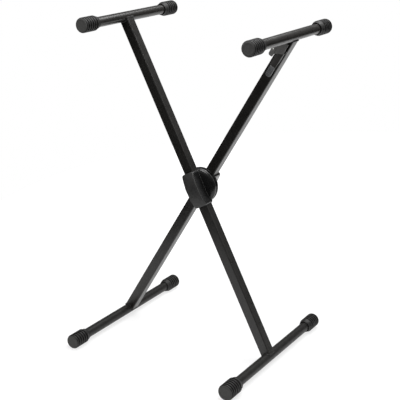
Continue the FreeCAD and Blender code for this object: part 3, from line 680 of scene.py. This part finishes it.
@dataclass
class EndCap:
    """A grooved rubber cap pushed on a cross tube's end. Sizes are in millimetres.

    Attributes:
        radius: Radius of the barrel.
        bore: Radius of the hole for the tube.
        off_centre: How far the bore sits from the barrel's axis, towards -x.
        drop: How far the bore sits below the barrel's axis.
        floor: Thickness of the closed end.
        barrel: Length of the cylindrical part.
        neck: Length of the taper.
        mouth: Length of the straight lip.
        flare: Space between the lip and the tube.
        flare_depth: Depth of that space.
        lip_wall: Wall of the lip.
        edge: Rounding of the closed end.
        grooves: Number of grip grooves.
        first: Distance from the closed end to the first groove.
        pitch: Distance between grooves.
        width: Width of a groove.
        depth: Depth of a groove.
    """

    radius: float = 21.2
    bore: float = 14.3
    off_centre: float = 0.0
    drop: float = 0.0
    floor: float = 5.0
    barrel: float = 52.0
    neck: float = 9.0
    mouth: float = 4.0
    flare: float = 1.8
    flare_depth: float = 9.0
    lip_wall: float = 1.3
    edge: float = 6.0
    grooves: int = 5
    first: float = 9.5
    pitch: float = 9.3
    width: float = 4.0
    depth: float = 2.8

    @property
    def full(self) -> float:
        """Length of the whole cap."""
        return self.barrel + self.neck + self.mouth

    def outside(self) -> list[Point]:
        """Outer profile.

        Returns:
            (radius, y) points from the middle of the closed end to the lip.
        """
        r = self.radius
        points: list[Point] = [(0.0, 0.7), (9.0, 0.7), (12.6, 0.66), (13.4, 0.5), (14.2, 0.16), (15.0, 0.0)]
        for step in range(7):
            angle = math.pi / 2 * step / 6
            points.append((r - self.edge * (1 - math.sin(angle)), self.edge * (1 - math.cos(angle))))
        for index in range(self.grooves):
            centre = self.first + self.pitch * index
            points += self.groove(centre)
            if index + 1 < self.grooves:
                points.append((r, centre + self.pitch / 2))
        points.append((r, self.barrel - 2.2))
        lip = self.bore + self.off_centre + self.flare + self.lip_wall
        for step in range(13):
            share = step / 12
            eased = share * share * (3 - 2 * share)
            points.append((r + (lip - r) * eased, self.barrel - 1 + (self.neck + 1) * share))
        points += [(lip, self.full - 0.8), (lip - 0.15, self.full - 0.3), (lip - 0.5, self.full)]
        return points

    def groove(self, centre: float) -> list[Point]:
        """Profile of one groove with eased lips and a round floor.

        Args:
            centre: The groove's middle along the cap.

        Returns:
            (radius, y) points across the groove.
        """
        r, half, deep = self.radius, self.width / 2, self.depth
        shape = ((-1.45, 0.0), (-1.15, 0.06), (-0.98, 0.3), (-0.86, 0.72), (-0.55, 0.95), (0.0, 1.0))
        left = [(r - deep * fall, centre + half * along) for along, fall in shape]
        right = [(r - deep * fall, centre - half * along) for along, fall in reversed(shape[:-1])]
        return left + right

    def kind(self, middle: Vector, normal: Vector) -> int:
        """Which finish a face takes: 0 for the barrel, 1 for the end face, painted paler as painted light,
        2 inside a groove or the mouth's recess, painted near black as painted shade.

        Args:
            middle: Middle of the face in millimetres.
            normal: Normal of the face.

        Returns:
            Index of the face's material slot.
        """
        if middle.y < self.edge * 0.6 and normal.y < -0.7:
            return 1
        distance = math.hypot(middle.x, middle.z)
        in_grooves = middle.y < self.barrel and self.bore + 1 < distance < self.radius - 0.45 * self.depth
        from_tube = Vector((middle.x + self.off_centre, middle.z + self.drop)).length
        past_shelf = middle.y > self.full - self.flare_depth - 1
        in_mouth = past_shelf and from_tube < self.bore + self.flare + 0.2
        # Faces in the grooves and the mouth's recess take the near-black painted shade.
        return 2 if in_grooves or in_mouth else 0

    def mesh(self, name: str) -> Mesh:
        """Build the cap about its own axis, closed end at y = 0.

        Args:
            name: Name of the mesh.

        Returns:
            The mesh.
        """
        full, ease = self.full, 0.4
        if not self.off_centre:
            wide, shelf = self.bore + self.flare, full - self.flare_depth
            inside = [(wide + 0.3, full), (wide, full - ease), (wide, shelf + ease), (wide - ease, shelf)]
            inside += [(self.bore, shelf), (self.bore, self.floor), (0.0, self.floor)]
            return lathe(name, self.outside() + inside)
        solid = lathe(name, [*self.outside(), (0.0, full)])
        loose, start = self.bore + 0.06, self.floor + 0.3
        hole = lathe("bore", [(0.0, start), (loose, start), (loose, full + 5), (0.0, full + 5)])
        hole.transform(Matrix.Translation((-self.off_centre * MM, 0, -self.drop * MM)))
        return join_meshes(name, "DIFFERENCE", solid, hole)


@dataclass
class TubeSet:
    """The four cross tubes' caps and the welds that hold the tubes to the legs."""

    layout: Layout
    cap: EndCap = field(default_factory=EndCap)
    leveller: EndCap = field(default_factory=lambda: EndCap(radius=23.5, off_centre=2.4, drop=2.25))
    homes: dict[str, tuple[Body, Side]] = field(
        default_factory=lambda: {
            "support_left": (Body.FRONT_FRAME, Side.FRONT),
            "support_right": (Body.REAR_FRAME, Side.REAR),
            "foot_left": (Body.REAR_FRAME, Side.REAR),
            "foot_right": (Body.FRONT_FRAME, Side.FRONT),
        }
    )

    def build(self) -> None:
        """Make every cap and weld."""
        for name, (body, side) in self.homes.items():
            self.caps(name, body, side)
            self.weld(name, body, side)
        self.levelling_cap()

    def caps(self, name: str, body: Body, side: Side) -> None:
        """Make the caps of one cross tube.

        Args:
            name: The tube's name without its prefix.
            body: The body that the tube is on.
            side: The leg that the tube is on.
        """
        for place in ("front", "rear"):
            node = f"cap_{name}_{place}"
            if node not in frame["nodes"]:
                continue
            turn = Matrix.Rotation(0 if place == "front" else math.pi, 4, "Z")
            lean = Matrix.Rotation(self.layout.lean * side.value, 4, "Y")
            self.show_cap(self.cap, node, f"rubber_{node}", lean @ turn, body)

    def levelling_cap(self) -> None:
        """Make the larger off-centre cap on the front right foot."""
        self.show_cap(self.leveller, "levelling_cap", "rubber_levelling_cap", Matrix(), Body.LEVELLER)

    def show_cap(self, cap: EndCap, node: str, name: str, turn: Matrix, body: Body) -> None:
        """Show a cap with its end face painted paler as painted light, and its grooves and mouth recess
        painted near black as painted shade.

        Args:
            cap: The cap's sizes.
            node: The CAD node that it is shown instead of.
            name: The piece's name.
            turn: How the cap is turned.
            body: The body that it moves with.
        """
        low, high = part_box(node)
        middle = (low + high) / 2
        end = high.y if node.endswith("rear") else low.y
        place = Matrix.Translation((middle.x, end, middle.z)) @ turn
        mesh = cap.mesh(name)
        kinds = [cap.kind(face.center / MM, face.normal) for face in mesh.polygons]
        piece = show(mesh, place, body, CAP_RUBBER, [node])
        # Slot 1 paints light on the end face; slot 2 paints shade in the grooves and the mouth.
        for finish in (CAP_END_PAINTED_LIGHT, CAP_GROOVE_SHADE):
            piece.data.materials.append(SHELF.get(finish))
        for face, kind in zip(piece.data.polygons, kinds):
            face.material_index = kind

    def weld(self, name: str, body: Body, side: Side) -> None:
        """Lay a rippled weld bead round the end of a leg, where it meets its tube.

        Args:
            name: The tube's name without its prefix.
            body: The body that the tube is on.
            side: The leg that the tube is on.
        """
        upper = name.startswith("support")
        reach = self.layout.up if upper else -self.layout.down
        sign = 1 if upper else -1
        low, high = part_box("leg_front" if side is Side.FRONT else "leg_rear")
        middle = (low.y + high.y) / 2 / MM
        tube, half, corner = 14.3, 15.0, 3
        square = [(x * half, y * half, corner) for x, y in ((-1, -1), (1, -1), (1, 1), (-1, 1))]
        path = [Vector((x, middle + y, 0)) for x, y in rounded_outline(square, 5)]
        dense = subdivide(path, 1.1)
        for point in dense:
            drop = math.sqrt(max(0.0, tube**2 - min(abs(point.x), tube - 1.2) ** 2))
            point.z = reach - sign * max(drop, 6.6)
        mesh = bead(f"weld_{name}", dense, 1.5, 0.22)
        show(mesh, self.layout.leg(side), body, POWDER_COAT)


def bead(
    name: str, path: Sequence[Vector], radius: float, ripple: float, across: Vector = Vector((0, 0, 1))
) -> Mesh:
    """A closed rippled bead along a loop.

    Args:
        name: Name of the mesh.
        path: Points of the loop in millimetres.
        radius: Radius of the bead.
        ripple: How much the radius swells at each ripple.
        across: Rough normal of the loop's plane.

    Returns:
        The mesh.
    """
    around = 10
    count = len(path)
    points: list[Point3] = []
    faces: list[tuple[int, ...]] = []
    for index, centre in enumerate(path):
        ahead = (path[(index + 1) % count] - path[index - 1]).normalized()
        side = ahead.cross(across).normalized()
        up = side.cross(ahead)
        swell = radius + ripple * math.sin(index * 2.1) + 0.5 * ripple * math.sin(index * 0.37)
        for step in range(around):
            angle = 2 * math.pi * step / around
            point = centre + side * (swell * math.cos(angle)) + up * (swell * math.sin(angle))
            points.append(tuple(point * MM))
            following = (step + 1) % around
            low, high = index * around, ((index + 1) % count) * around
            faces.append((low + step, low + following, high + following, high + step))
    return mesh_of(name, points, faces)


# ---- hub ----


@dataclass
class HubHalf:
    """One half of the hub: a collar round the leg with a domed drum. Sizes in millimetres.

    Attributes:
        layout: The stand's frame.
        side: The leg that this half is on.
        gap: Half of the space between the legs.
        leg: Side of the square leg.
        proud: How far the fascia stands in front of the leg at its ends.
        bow: How much further it stands at its middle.
        fascia: Thickness of the fascia.
        drum: Radius of the drum.
        rim: Where the drum's rim turns into its dome.
        dome: Where the dome is highest.
        crown: Radius of the flat middle of the dome.
        half: Half width of the collar.
        bottom: Lower end of the collar, below the pivot.
        top: Upper end of the collar.
        corner: Steps round a corner: (distance from the end, inset from the side).
        levels: Heights on the straight part at which the bow is drawn.
    """

    layout: Layout
    side: Side
    gap: float = 5.0
    leg: float = 30.0
    proud: float = 8.0
    bow: float = 10.0
    fascia: float = 4.0
    drum: float = 53.0
    rim: float = 7.0
    dome: float = 16.0
    crown: float = 21.0
    half: float = 20.0
    bottom: float = -57.0
    top: float = 47.0
    corner: tuple[Point, ...] = ((0.0, 5.6), (0.2, 3.8), (1.0, 2.4), (2.2, 1.2), (3.8, 0.4), (5.8, 0.0))
    levels: tuple[float, ...] = (-43.0, -34.0, -24.0, -14.0, -4.0, 6.0, 16.0, 25.0, 34.0)

    @property
    def half_widths(self) -> list[Point]:
        """Heights up the collar, each with the half width there."""
        low = [(self.bottom + rise, self.half - inset) for rise, inset in self.corner]
        high = [(self.top - fall, self.half - inset) for fall, inset in reversed(self.corner)]
        return low + [(level, self.half) for level in self.levels] + high

    def front(self, z: float) -> float:
        """Depth of the fascia's face at a height along the leg."""
        share = (z - (self.bottom + self.top) / 2) / ((self.top - self.bottom) / 2)
        return -(self.gap + self.leg + self.proud + self.bow * (1 - share * share))

    def strip(self, name: str, back: Callable[[float], float], face: Callable[[float], float],
              inset: float, edge: float) -> Mesh:
        """A bowed block that follows the collar's outline.

        Args:
            name: Name of the mesh.
            back: Depth of its back at a height.
            face: Depth of its front at a height.
            inset: How far it stays inside the collar's outline.
            edge: Rounding of its front edge.

        Returns:
            The mesh.
        """
        sections = []
        for z, width in self.half_widths:
            half = max(width - inset, 1.0)
            level = z - math.copysign(inset, z) * (1 if abs(z) > 44 else 0)
            edge_here = min(edge, half * 0.6)
            right = [(half, back(level))]
            for step in range(5):
                angle = math.pi / 2 * step / 4
                rise = edge_here * (1 - math.sin(angle))
                right.append((half - edge_here * (1 - math.cos(angle)), face(level) + rise))
            left = [(-x, y) for x, y in reversed(right)]
            sections.append([(x, y, level) for x, y in right + left])
        return loft(name, sections)

    def drum_profile(self) -> list[Point]:
        """Closed section of the drum.

        Returns:
            (radius, y) points round the section.
        """
        hole, wide, steps = 14.3, self.drum, 14
        points: list[Point] = [(hole, -3.5), (wide - 3.4, -3.5), (wide - 3.0, -3.3), (wide - 3.0, -2.7),
                               (wide - 2.7, -2.4), (wide - 0.6, -2.4), (wide - 0.1, -2.7), (wide, -3.2),
                               (wide, -self.rim)]
        for step in range(1, steps + 1):
            angle = math.pi / 2 * step / steps
            radius = self.crown + (self.drum - self.crown) * math.cos(angle)
            depth = self.rim + (self.dome - self.rim) * math.sin(angle)
            points.append((radius, -depth))
        points.append((hole, -self.dome))
        return points

    def dome_level(self, radius: float) -> float:
        """Depth of the drum's face at a distance from the pivot axis."""
        share = min(1.0, max(0.0, (radius - self.crown) / (self.drum - self.crown)))
        return -(self.rim + (self.dome - self.rim) * math.sqrt(1 - share * share))

    def lip(self, name: str) -> Mesh:
        """A thin raised line on the collar's sides, where they meet the drum.

        Args:
            name: Name of the mesh.

        Returns:
            The mesh.
        """
        right = [(width + 0.15, z) for z, width in self.half_widths]
        outline = right + [(-x, z) for x, z in reversed(right)]
        path = subdivide([Vector((x, 0, z)) for x, z in outline], 1.5)
        for point in path:
            point.y = self.dome_level(math.hypot(point.x, point.z)) - 0.8
        return bead(name, path, 0.8, 0.0, Vector((0, 1, 0)))

    def build(self) -> None:
        """Make the cover, its fascia and its raised line."""
        tag = "front" if self.side is Side.FRONT else "rear"
        body = Body.FRONT_FRAME if self.side is Side.FRONT else Body.REAR_FRAME
        place = self.layout.leg(self.side, turned=self.side is Side.REAR)
        seam, play = 0.35, 0.2

        def seat(z: float) -> float:
            """Depth of the joint between collar and fascia."""
            return self.front(z) + self.fascia

        collar = self.strip("collar", lambda z: -self.gap, seat, 0.0, 0.5)
        drum = lathe("drum", self.drum_profile(), 128, closed=True)
        cover = join_meshes("cover", "UNION", collar, drum)
        wide, far, near = self.leg / 2 + play, -self.gap - self.leg - play, -self.gap + play
        corners = [(-wide, far, 3), (wide, far, 3), (wide, near, 1), (-wide, near, 1)]
        channel = plate("channel", corners, -90, 90, "z", play)
        cover = join_meshes(f"hub_shell_{tag}", "DIFFERENCE", cover, channel)
        show(cover, place, body, HUB_PLASTIC, [f"hub_cover_{tag}"])
        fascia = self.strip(f"hub_face_{tag}", seat, self.front, seam, 1.3)
        show(fascia, place, body, FASCIA_PLASTIC, [f"hub_fascia_{tag}"])
        # The raised line takes the paler fascia finish so that it shows as a bright line: a real moulded
        # bead, partly coloured as a painted highlight.
        show(self.lip(f"hub_lip_{tag}"), place, body, FASCIA_PLASTIC)


# ---- trigger ----


@dataclass
class TriggerSet:
    """The squeeze trigger on the rear leg, with its bracket and pin. Sizes in millimetres.

    Attributes:
        layout: The stand's frame.
        face: Front face of the rear leg.
        height: Trigger pin along the leg.
        pin_proud: Trigger pin in front of the leg face.
        half: Half width of the lever.
        shift: How far the lever sits to the right of the leg's middle.
        inset: How far the thumb tab's left side is inside the lever's.
        sheet: Thickness of the lever's metal.
        front: Lever face in front of the leg face.
    """

    layout: Layout
    face: float = 5.0
    height: float = 486.0
    pin_proud: float = 6.3
    half: float = 9.5
    shift: float = 3.0
    inset: float = 3.5
    sheet: float = 2.5
    front: float = 12.3

    @property
    def place(self) -> Matrix:
        """Frame of the rear leg."""
        return self.layout.leg(Side.REAR)

    @property
    def pin_y(self) -> float:
        """Depth of the trigger pin."""
        return self.face - self.pin_proud

    def across(self, turn: float = math.pi / 2) -> Matrix:
        """Frame of the trigger pin, with y along the pin."""
        middle = Matrix.Translation((0, self.pin_y * MM, self.height * MM))
        return middle @ Matrix.Rotation(turn, 4, "Z")

    def build(self) -> None:
        """Make the lever, the thumb tab, the bracket, the pin and its clip."""
        self.lever()
        self.grip()
        self.bracket()
        self.pin()

    def lever(self) -> None:
        """Pressed lever with two flanges, the pin barrel and the crank arm."""
        front = self.face - self.front
        top, bottom = self.height - 8.0, self.height - 66.0
        sections = []
        for share in [step / 29 for step in range(30)]:
            z = bottom + (top - bottom) * share
            fall = 0.0 if z < bottom + 17 else min(1.0, (z - bottom - 17) / 26)
            deep = self.sheet + 0.02 + 7.4 * fall
            narrow = self.inset * min(1.0, max(0.0, (bottom + 16 - z) / 8))
            section = [(x + narrow if x < 0 else x, y, z) for x, y in self.channel_section(front, deep)]
            sections.append(section)
        web = loft("web", sections)
        half = self.half
        wide, ease = 4.9, 0.4
        profile = [(0, -half), (wide - ease, -half), (wide, -half + ease), (wide, half - ease),
                   (wide - ease, half), (0, half)]
        barrel = lathe("barrel", profile, 48)
        barrel.transform(self.across())
        cheeks = join_meshes("cheeks", "UNION", web, barrel)
        for side in (-1, 1):
            low = side * half - (self.sheet if side > 0 else 0)
            corners = [(front + 0.6, top - 9, 0), (self.face - 3, top - 9, 1.5),
                       (self.pin_y + 3.4, self.height + 1, 2), (self.pin_y, self.height + 4.6, 2),
                       (front + 0.6, top - 0.6, 2)]
            cheek = plate("cheek", corners, low + 0.03, low + self.sheet - 0.03, "x", 0.4, 4)
            cheeks = join_meshes("cheeks", "UNION", cheeks, cheek)
        low, high, reach = self.height - 4, self.height + 4, 24
        corners = [(self.pin_y, low, 1), (reach, low, 2), (reach, high, 2), (self.pin_y, high, 1)]
        arm = plate("arm", corners, -1.5, 1.5, "x", 0.3, 4)
        cheeks.transform(Matrix.Translation((self.shift * MM, 0, 0)))
        whole = join_meshes("trigger_body", "UNION", cheeks, arm)
        bore = lathe("bore", [(0, -20), (2.56, -20), (2.56, 20), (0, 20)], 32)
        bore.transform(self.across())
        whole = join_meshes("trigger_body", "DIFFERENCE", whole, bore)
        show(whole, self.place, Body.TRIGGER, TRIGGER_PAINT, ["trigger_lever"])

    def channel_section(self, front: float, deep: float) -> list[Point]:
        """Section across the lever: a web with two flanges, open to the leg.

        Args:
            front: Depth of the web's front face.
            deep: How far the flanges reach behind that face.

        Returns:
            The section's (x, y) points.
        """
        half, wall, bend = self.half, self.sheet, 1.6
        right: list[Point] = []
        for step in range(5):
            angle = math.pi / 2 * step / 4
            right.append((half - bend * (1 - math.sin(angle)), front + bend * (1 - math.cos(angle))))
        back = front + deep
        inner = front + wall
        right += [(half, back - 0.4), (half - 0.4, back), (half - wall + 0.4, back)]
        right += [(half - wall, max(back - 0.4, inner)), (half - wall - 0.6, inner)]
        left = [(-x, y) for x, y in reversed(right)]
        return right + left

    def grip(self) -> None:
        """Moulded thumb tab with finger ribs over the lever's lower end."""
        front = self.face - self.front
        top = self.height - 66.0 + 16.0
        bottom = top - 32.0
        left, right = self.inset - self.half, self.half
        corners = [(left, top, 1.5), (left, bottom, 7.0), (right, bottom, 7.0), (right, top, 1.5)]
        tab = plate("tab", corners, front - 3.0, front + self.sheet + 1.0, "y", 1.1, 7)
        low = bottom + 16
        corners = [(left - 5, low), (right + 1, low), (right + 1, top + 1), (left - 5, top + 1)]
        socket = plate("socket", corners, front, front + self.sheet, "y", 0.05)
        tab = join_meshes("tab", "DIFFERENCE", tab, socket)
        for index in range(4):
            z = bottom + 6.5 + index * 4.6
            start, end, high = left + 2.8, right - 2.8, z + 1.8
            corners = [(start, z, 0.8), (end, z, 0.8), (end, high, 0.8), (start, high, 0.8)]
            slot = plate("slot", corners, front - 4.0, front - 2.1, "y", 0.2, 3)
            tab = join_meshes("tab", "DIFFERENCE", tab, slot)
        tab.transform(Matrix.Translation((self.shift * MM, 0, 0)))
        tab.name = "thumb_tab"
        show(tab, self.place, Body.TRIGGER, GRIP_PLASTIC, ["trigger_grip"])

    def bracket(self) -> None:
        """Pressed bracket: a plate over the lever's head and a rounded ear at its left."""
        front = self.face - 16.8
        low, high = self.height - 3.0, self.height + 27.0
        lug_top, lug_low = self.height - 6.0, self.height - 28.5
        outside, side = -17.0, -15.0
        lug_left, lug_right, right = -24.0, -10.0, 13.0
        corners = [(right, low, 4), (right, high, 2.5), (outside, high, 1), (outside, lug_top + 6, 3),
                   (lug_left, lug_top, 6), (lug_left, lug_low, 8), (lug_right, lug_low, 5),
                   (lug_right, low - 15, 2)]
        face = plate("face", corners, front, front + 2.0, "y", 0.4, 7)
        ear_end, ear_low, ear_front = self.face + 13.0, self.height - 14.0, front + 0.5
        corners = [(ear_front, high, 1), (ear_front, ear_low, 0.5), (ear_end, ear_low, 6),
                   (ear_end, high, 2.5)]
        ear = plate("ear", corners, outside, side, "x", 0.4, 9)
        mesh = join_meshes("trigger_mount", "UNION", ear, face)
        hole = lathe("hole", [(0, -20), (2.5, -20), (2.5, -12), (0, -12)], 32)
        hole.transform(self.across(-math.pi / 2))
        mesh = join_meshes("trigger_mount", "DIFFERENCE", mesh, hole)
        corners = [(-13.4, high - 4), (-11.6, high - 4), (-8.8, low - 14), (-10.6, low - 14)]
        fold = plate("fold", corners, front - 1, front + 1, "y", 0.1)
        mesh = join_meshes("trigger_mount", "DIFFERENCE", mesh, fold)
        show(mesh, self.place, Body.REAR_FRAME, BRACKET_PAINT, ["trigger_bracket"])
        profile = [(0, -1.3), (1.2, -1.2), (2.2, -0.8), (2.8, 0), (2.8, 0.6), (0, 0.6)]
        stud = lathe("bracket_stud", profile, 40)
        spot = self.place @ Matrix.Translation((-18.2 * MM, front * MM, (self.height - 8) * MM))
        show(stud, spot, Body.REAR_FRAME, ZINC)

    def pin(self) -> None:
        """Headed pin with its clip, along x."""
        spot = self.place @ self.across(-math.pi / 2)
        head = [(0, -20.0), (2.2, -19.9), (3.6, -19.3), (4.3, -18.3), (4.5, -17.3), (4.4, -17.0)]
        shank = [(2.5, -17.0), (2.5, 15.3), (2.1, 15.8), (0, 15.8)]
        body = Body.REAR_FRAME
        # Pin and clip are near black as painted shade, where the bracket plate shades the leg.
        show(lathe("pin_body", head + shank, 48), spot, body, PIN_SHADE_DARK, ["trigger_pin"])
        clip = [(2.5, 12.8), (4.3, 12.8), (4.5, 13.0), (4.5, 13.6), (4.3, 13.8), (2.5, 13.8)]
        ring = lathe("spring_clip", clip, 48, closed=True)
        show(ring, spot, body, PIN_SHADE_DARK, ["pin_clip"])


# ---- carried-over CAD pieces ----


@dataclass
class FrameDresser:
    """Gives the CAD pieces that stay in view their finishes."""

    finishes: dict[str, Finish] = field(
        default_factory=lambda: {
            "powder_coat": POWDER_COAT, "cap_rubber": CAP_RUBBER, "hub_plastic": HUB_PLASTIC,
            "fascia_plastic": FASCIA_PLASTIC, "zinc_steel": ZINC, "bare_steel": BARE_STEEL, "nylon": NYLON,
            "trigger_paint": TRIGGER_PAINT, "grip_plastic": GRIP_PLASTIC,
        }
    )
    # The foot tubes take the darker copy of the powder coat, which is painted shade.
    own: dict[str, Finish] = field(
        default_factory=lambda: {"tube_foot_left": FOOT_COAT_SHADED, "tube_foot_right": FOOT_COAT_SHADED}
    )

    def dress(self, record: dict) -> None:
        """Assign a finish to every CAD node that is still shown.

        Args:
            record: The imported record.
        """
        slots = {part["node"]: part["material_slot"] for part in record["subparts"]}
        for name, node in frame["nodes"].items():
            if node.hide_render:
                continue
            material = SHELF.get(self.own.get(name, self.finishes[slots[name]]))
            if not node.data.materials:
                node.data.materials.append(material)
            for index in range(len(node.data.materials)):
                node.data.materials[index] = material
            LOG.info("%s: finish %s", name, material.name)


# ---- studio ----


@dataclass
class Studio:
    """Floor, light and camera.

    Attributes:
        layout: The stand's frame.
        azimuth: Camera direction round the stand, degrees.
        elevation: Camera direction above the horizon, degrees.
        roll: Camera roll, degrees.
        distance: Camera to pivot, metres.
        lens: Focal length for a 36 mm wide sensor.
        shift: Sensor shift, right and up.
        floor_reach: Radius of the pale floor, metres.
        floor_middle: Middle of the pale floor, metres.
    """

    layout: Layout
    azimuth: float = 31.10
    elevation: float = 18.51
    roll: float = 1.79
    distance: float = 2.9054
    lens: float = 90.28
    shift: Point = (-0.0027, -0.0373)
    floor_reach: float = 1.9
    floor_middle: Point = (0.55, 0.95)

    def build(self) -> None:
        """Make the floor, the lights, the surroundings and the camera."""
        self.floor()
        self.lights()
        self.surroundings()
        self.camera()

    def floor(self) -> None:
        """A round pale floor."""
        mesh = lathe("studio_floor", [(0, 0), (self.floor_reach / MM, 0)], 96)
        middle = Matrix.Translation((*self.floor_middle, -0.5 * MM))
        mesh.transform(middle @ Matrix.Rotation(-math.pi / 2, 4, "X"))
        shader = Shader("studio_floor")
        spot = shader.add("ShaderNodeNewGeometry").outputs["Position"]
        distance = shader.add("ShaderNodeVectorMath", {0: spot}, operation="LENGTH").outputs["Value"]
        shader.feed(shader.base, {
            "Base Color": shader.blend(shader.noise(1.5), (0.27, 0.27, 0.27), (0.29, 0.29, 0.29)),
            "Roughness": 0.9,
            "Specular IOR Level": 0.1,
            "Emission Color": WHITE,
            "Emission Strength": shader.remap(distance, 0.74, 1.0, 0.5, 1.3),
        })
        mesh.materials.append(shader.material)
        floor = bpy.data.objects.new("studio_floor", mesh)
        bpy.context.scene.collection.objects.link(floor)

    def lights(self) -> None:
        """One wide lamp overhead and softer ones from the right and the front."""
        self.lamp("overhead", (0.3, 0.5, 2.6), (0, 0, 0), 2.2, 86.0)
        self.lamp("right_fill", (2.6, 1.4, 1.7), (0, 0, 0.7), 1.2, 8.0)
        self.lamp("front_fill", (-0.35, -1.05, 1.45), (0, 0, 0.95), 0.6, 7.5)

    def lamp(self, name: str, spot: Point3, aim: Point3, size: float, power: float) -> None:
        """Add a square area lamp.

        Args:
            name: Name of the lamp.
            spot: Where it hangs, metres.
            aim: The point that it faces.
            size: Length of its side, metres.
            power: Power in watts.
        """
        light = bpy.data.lights.new(name, "AREA")
        light.energy = power
        light.size = size
        lamp = bpy.data.objects.new(name, light)
        lamp.location = spot
        lamp.rotation_mode = "QUATERNION"
        lamp.rotation_quaternion = (Vector(aim) - Vector(spot)).to_track_quat("-Z", "Y")
        bpy.context.scene.collection.objects.link(lamp)

    def surroundings(self) -> None:
        """A white backdrop that lights the stand only softly."""
        world = bpy.data.worlds.new("studio")
        bpy.context.scene.world = world
        world.use_nodes = True
        wiring = Wiring(world.node_tree)
        way = wiring.add("ShaderNodeTexCoord").outputs["Generated"]
        height = wiring.add("ShaderNodeSeparateXYZ", {0: way}).outputs["Z"]
        glow = wiring.remap(height, 0.02, 0.24, -0.02, 0.5)
        soft = wiring.add("ShaderNodeBackground", {"Color": WHITE, "Strength": glow}).outputs[0]
        white = wiring.add("ShaderNodeBackground", {"Color": WHITE}).outputs[0]
        seen = wiring.add("ShaderNodeLightPath").outputs["Is Camera Ray"]
        mix = wiring.add("ShaderNodeMixShader", {0: seen, 1: soft, 2: white}).outputs[0]
        wiring.add("ShaderNodeOutputWorld", {"Surface": mix})
        bpy.context.scene.view_settings.view_transform = "Standard"

    def camera(self) -> None:
        """The camera, aimed at the pivot with its roll and shift."""
        data = bpy.data.cameras.new("camera")
        data.lens = self.lens
        data.sensor_width = 36.0
        data.shift_x, data.shift_y = self.shift
        data.clip_end = 60.0
        camera = bpy.data.objects.new("camera", data)
        azimuth, elevation = math.radians(self.azimuth), math.radians(self.elevation)
        out, rise = math.cos(elevation), math.sin(elevation)
        back = Vector((math.sin(azimuth) * out, -math.cos(azimuth) * out, rise))
        level = Vector((math.cos(azimuth), math.sin(azimuth), 0))
        upright = back.cross(level)
        roll = math.radians(self.roll)
        right = level * math.cos(roll) + upright * math.sin(roll)
        up = upright * math.cos(roll) - level * math.sin(roll)
        rotation = Matrix((right, up, back)).transposed().to_4x4()
        camera.matrix_world = Matrix.Translation(self.layout.pivot + back * self.distance) @ rotation
        bpy.context.scene.collection.objects.link(camera)
        bpy.context.scene.camera = camera


def main() -> None:
    """Build the stand's looks, piece by piece."""
    logging.basicConfig(level=logging.INFO, format="%(message)s")
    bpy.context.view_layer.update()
    layout = Layout.read(frame["record"])
    TubeSet(layout).build()
    for side in Side:
        HubHalf(layout, side).build()
    TriggerSet(layout).build()
    FrameDresser().dress(frame["record"])
    Studio(layout).build()
    bpy.context.view_layer.update()


if __name__ == "__main__":
    main()
